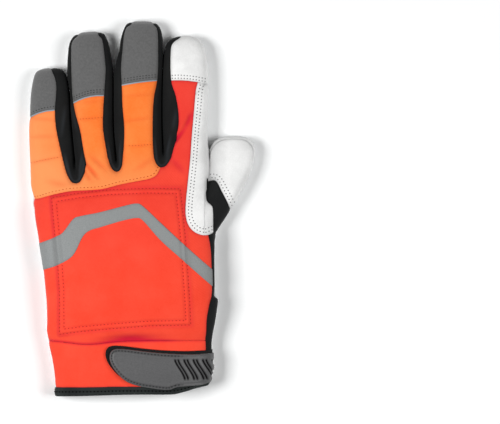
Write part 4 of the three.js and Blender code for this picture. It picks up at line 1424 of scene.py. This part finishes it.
def strand(points, way, out, long, thick):
    """Copies of one strand: an ellipse of six sides carried along a shallow arch that dips at both ends."""
    share = np.linspace(-1, 1, 5)
    girth = np.array([0.35, 0.9, 1.0, 0.9, 0.35])
    angle = np.linspace(0, 2 * np.pi, 6, endpoint=False)
    across = np.cross(out, way)
    along = share[:, None] * long / 2 + 0 * angle
    side = girth[:, None] * np.cos(angle) * thick / 2
    rise = girth[:, None] * np.sin(angle) * thick / 2 - (share**2)[:, None] * thick * 0.7
    body = (
        points[:, None, None]
        + along[None, ..., None] * way[:, None, None]
        + side[None, ..., None] * across[:, None, None]
        + rise[None, ..., None] * out[:, None, None]
    ).reshape(len(points), 30, 3)
    faces = lines_to_faces(6, 5, True)
    ends = np.array([[0, 1, 2, 3], [0, 3, 4, 5]])
    caps = np.concatenate([ends[:, ::-1], ends + 24])
    all_faces = np.concatenate([faces, caps])
    count = np.arange(len(points))[:, None, None] * 30
    return body.reshape(-1, 3), (all_faces[None] + count).reshape(-1, 4)


def stitch(name, lines, look, slot):
    """One piece from many rows of stitches. A row is its line, the piece that it lies on, pitch, length and
    thickness. Stitches that would leave their piece are left out."""
    parts = []
    for line, on, pitch, long, thick in lines:
        here, way = spaced(np.array(line, float), pitch)
        p, out, edge = on_back(here, on, 0.12)
        q, _, _ = on_back(here + way * 0.5, on, 0.12)
        stays = (edge < -0.9) & (p[:, 2] > 5.5) & (
            (to_outline(here, STRIPE_OUTLINE) > 0.4) | (on != "back_panel")
        )
        parts.append(strand(p[stays], unit(q - p)[stays], out[stays], long, thick))
    return one_piece(name, parts, look, slot)


def beside(line, distance):
    """A line moved sideways in plan, to its right where distance is above 0."""
    way = unit(np.gradient(line, axis=0))
    return line + distance * np.column_stack([way[:, 1], -way[:, 0]])


def inset(outline, distance):
    """A closed outline moved inwards, with its corners kept: each corner moves along the mean of its sides'
    ways in."""
    way = unit(np.roll(outline, -1, axis=0) - outline)
    turn = np.sign(np.cross(way, np.roll(way, -1, axis=0)).sum())
    into = turn * np.column_stack([-way[:, 1], way[:, 0]])
    before = np.roll(into, 1, axis=0)
    share = 1 + (into * before).sum(1, keepdims=True)
    moved = outline + distance * (into + before) / share
    return np.vstack([moved, moved[:1]])


PAD_SIDES = PAD_OUTLINE[:-1]
pad_rows = [(inset(PAD_SIDES, d), "back_panel", 2.5, 1.4, 0.62) for d in (0.05, 3.3)]
stitch("stitching_red", pad_rows, sewing_thread("red_thread", "#b5241b"), "red_stretch_cloth")
knuckle_rows = [
    (beside(KNUCKLE_SEAM, -1.9), "knuckle_panel", 2.5, 1.6, 0.5),
    (curve([(-62.5, 88.8), (-55.5, 90.3), (-48.5, 91.7), (-41.0, 92.9)]), "knuckle_panel", 2.1, 1.1, 0.42),
    (np.array([(-28.0, 119.4), (-12.0, 120.5)]), "knuckle_panel", 2.1, 1.1, 0.36),
    (np.array([(6.5, 100.7), (23.0, 101.7)]), "knuckle_panel", 2.1, 1.1, 0.36),
]
stitch("stitching_orange", knuckle_rows, sewing_thread("orange_thread", "#b04a18"), "orange_stretch_cloth")
cap_rows = [
    (ROWS[name][0] + (0, up), name, 2.1, 1.3, 0.55) for name in CAP_NAMES[:3] for up in ROWS[name][1]
]
stitch("stitching_grey", cap_rows, sewing_thread("grey_thread", "#2c2c2c"), "grey_suede")
white_rows = [
    (beside(ROWS[name][0], -far_in), name, 2.3, 1.15, 0.75)
    for name in ("index_side_leather", "thumb_leather")
    for far_in in ROWS[name][1]
]
white_rows += [(ROWS["cap_index"][0] + (0, up), "cap_index", 2.1, 1.05, 0.75) for up in ROWS["cap_index"][1]]
stitch("stitching_white", white_rows, sewing_thread("pale_thread", "#565656"), "white_leather")


def hem_stitches():
    """A row of stitches round the middle of the binding, on its outer side."""
    ring = palm_ring(0.5 * HEM_WIDE / BACK, 2 * FINE_SIDES, 0.62)
    count = int(np.linalg.norm(np.diff(ring, axis=0), axis=1).sum() / 2.5)
    points = even_ring(ring, count)
    way = unit(np.roll(points, -1, axis=0) - np.roll(points, 1, axis=0))
    out = np.cross(way, (0.0, 1.0, 0.0))
    out *= np.sign((out * (points - points.mean(axis=0))).sum(1, keepdims=True))
    shown = points[:, 2] > 2
    verts, faces = strand(settled(points)[shown], way[shown], unit(out)[shown], 1.5, 1.25)
    return new_piece(
        "stitching_hem", verts, faces, sewing_thread("black_thread", "#020202", 0.02),
        "black_stretch_cloth",
    )


hem_stitches()


def piping(name, thick, look):
    """The piping between each grey cap and the orange cloth: a cord of eight sides carried along the seam."""
    angle = np.linspace(0, 2 * np.pi, 8, endpoint=False)
    parts = []
    for k in range(3):
        line, _ = spaced(cap_edge(k, 0.1), 0.6)
        p, out, _ = on_back(line, "knuckle_panel", 0.0)
        clear = np.min([to_outline(line, o) for o in GUSSETS.values()], axis=0) > -0.2
        shown = clear & (p[:, 2] > 5.5)
        p, out = p[shown], out[shown]
        way = unit(np.gradient(p, axis=0))
        across = unit(np.cross(out, way))
        size = np.full(len(p), thick / 2)
        size[[0, -1]] *= 0.4
        ring = np.cos(angle)[None, :, None] * across[:, None] + np.sin(angle)[None, :, None] * out[:, None]
        points = (p[:, None] + size[:, None, None] * ring + 0.35 * out[:, None]).reshape(-1, 3)
        parts.append((points, lines_to_faces(8, len(p), True)))
    return one_piece(name, parts, look, "grey_suede")


piping("cap_piping", 0.95, PIPING)


def lining():
    """The fleece inside the hand: the hand's own tube drawn in by 3.6 mm, with its faces turned to the
    hollow. It starts inside the hem binding, and its far end is drawn together."""
    shares = np.concatenate([
        [0.022, 0.03, 0.038, 0.046, 0.055], np.linspace(0.07, 0.93, 30), np.full(6, 0.95),
    ])
    closing = np.concatenate([np.ones(35), np.cos(np.linspace(0.3, 1.5, 6))])
    rings = []
    for at, size in zip(shares, closing):
        ring = even_ring(palm_ring(at, FINE_SIDES, -np.interp(at, [0.022, 0.06], [1.9, 3.6])), LINING_SIDES)
        centre = ring.mean(axis=0)
        rings.append(centre + (ring - centre) * size)
    verts = np.concatenate(rings)
    faces = lines_to_faces(LINING_SIDES, len(rings), True)
    return new_piece("lining", settled(verts), faces[:, ::-1], FLEECE, "black_stretch_cloth")


lining()

# Floor, light and camera

PAPER = {"Roughness": 0.9, "Base Color": linear("#feffff"), "Specular IOR Level": 0.1}
FLOOR_HALF, FLOOR_Z = 3, -0.0004  # metres
floor_mesh = bpy.data.meshes.new("floor")
corners = [(x * FLOOR_HALF, y * FLOOR_HALF, FLOOR_Z) for x, y in ((-1, -1), (1, -1), (1, 1), (-1, 1))]
floor_mesh.from_pydata(corners, [], [(0, 1, 2, 3)])
# plain matt paper, so that the shadow is soft and even
floor_mesh.materials.append(material("white_paper", **PAPER)[0])
placed("floor", floor_mesh)

MIDDLE_OF_VIEW = Vector((91.5 * MM, 54.6 * MM, 0.012))


def soft_light(name, place, aim, size, watts):
    """A square lamp at a place, turned to its aim, both in metres."""
    lamp = bpy.data.lights.new(name, "AREA")
    lamp.energy = watts
    lamp.size = size
    made = placed(name, lamp)
    made.location = place
    made.rotation_euler = (Vector(aim) - Vector(place)).to_track_quat("-Z", "Y").to_euler()


soft_light("key_light", (-0.75, 0.0, 1.05), (0.0, 0.05, 0.0), 0.55, 14.3)
soft_light("fill_light", (0.85, 0.0, 1.0), (0.14, 0.1, 0.0), 0.6, 8.9)

world = bpy.data.worlds.new("studio")
bpy.context.scene.world = world
world.use_nodes = True
sky = world.node_tree.nodes["Background"].inputs
sky["Color"].default_value = (1, 1, 1, 1)
sky["Strength"].default_value = 0.05

DISTANCE = 2.4
PIXEL = 0.7 * MM
PHOTO_WIDE = 500  # pixels
lens = bpy.data.cameras.new("camera")
lens.sensor_width = 36
lens.lens = lens.sensor_width * DISTANCE / (PHOTO_WIDE * PIXEL)
camera = placed("camera", lens)
camera.location = MIDDLE_OF_VIEW + Vector((0, 0, DISTANCE))
bpy.context.scene.camera = camera
bpy.context.scene.view_settings.view_transform = "Standard"
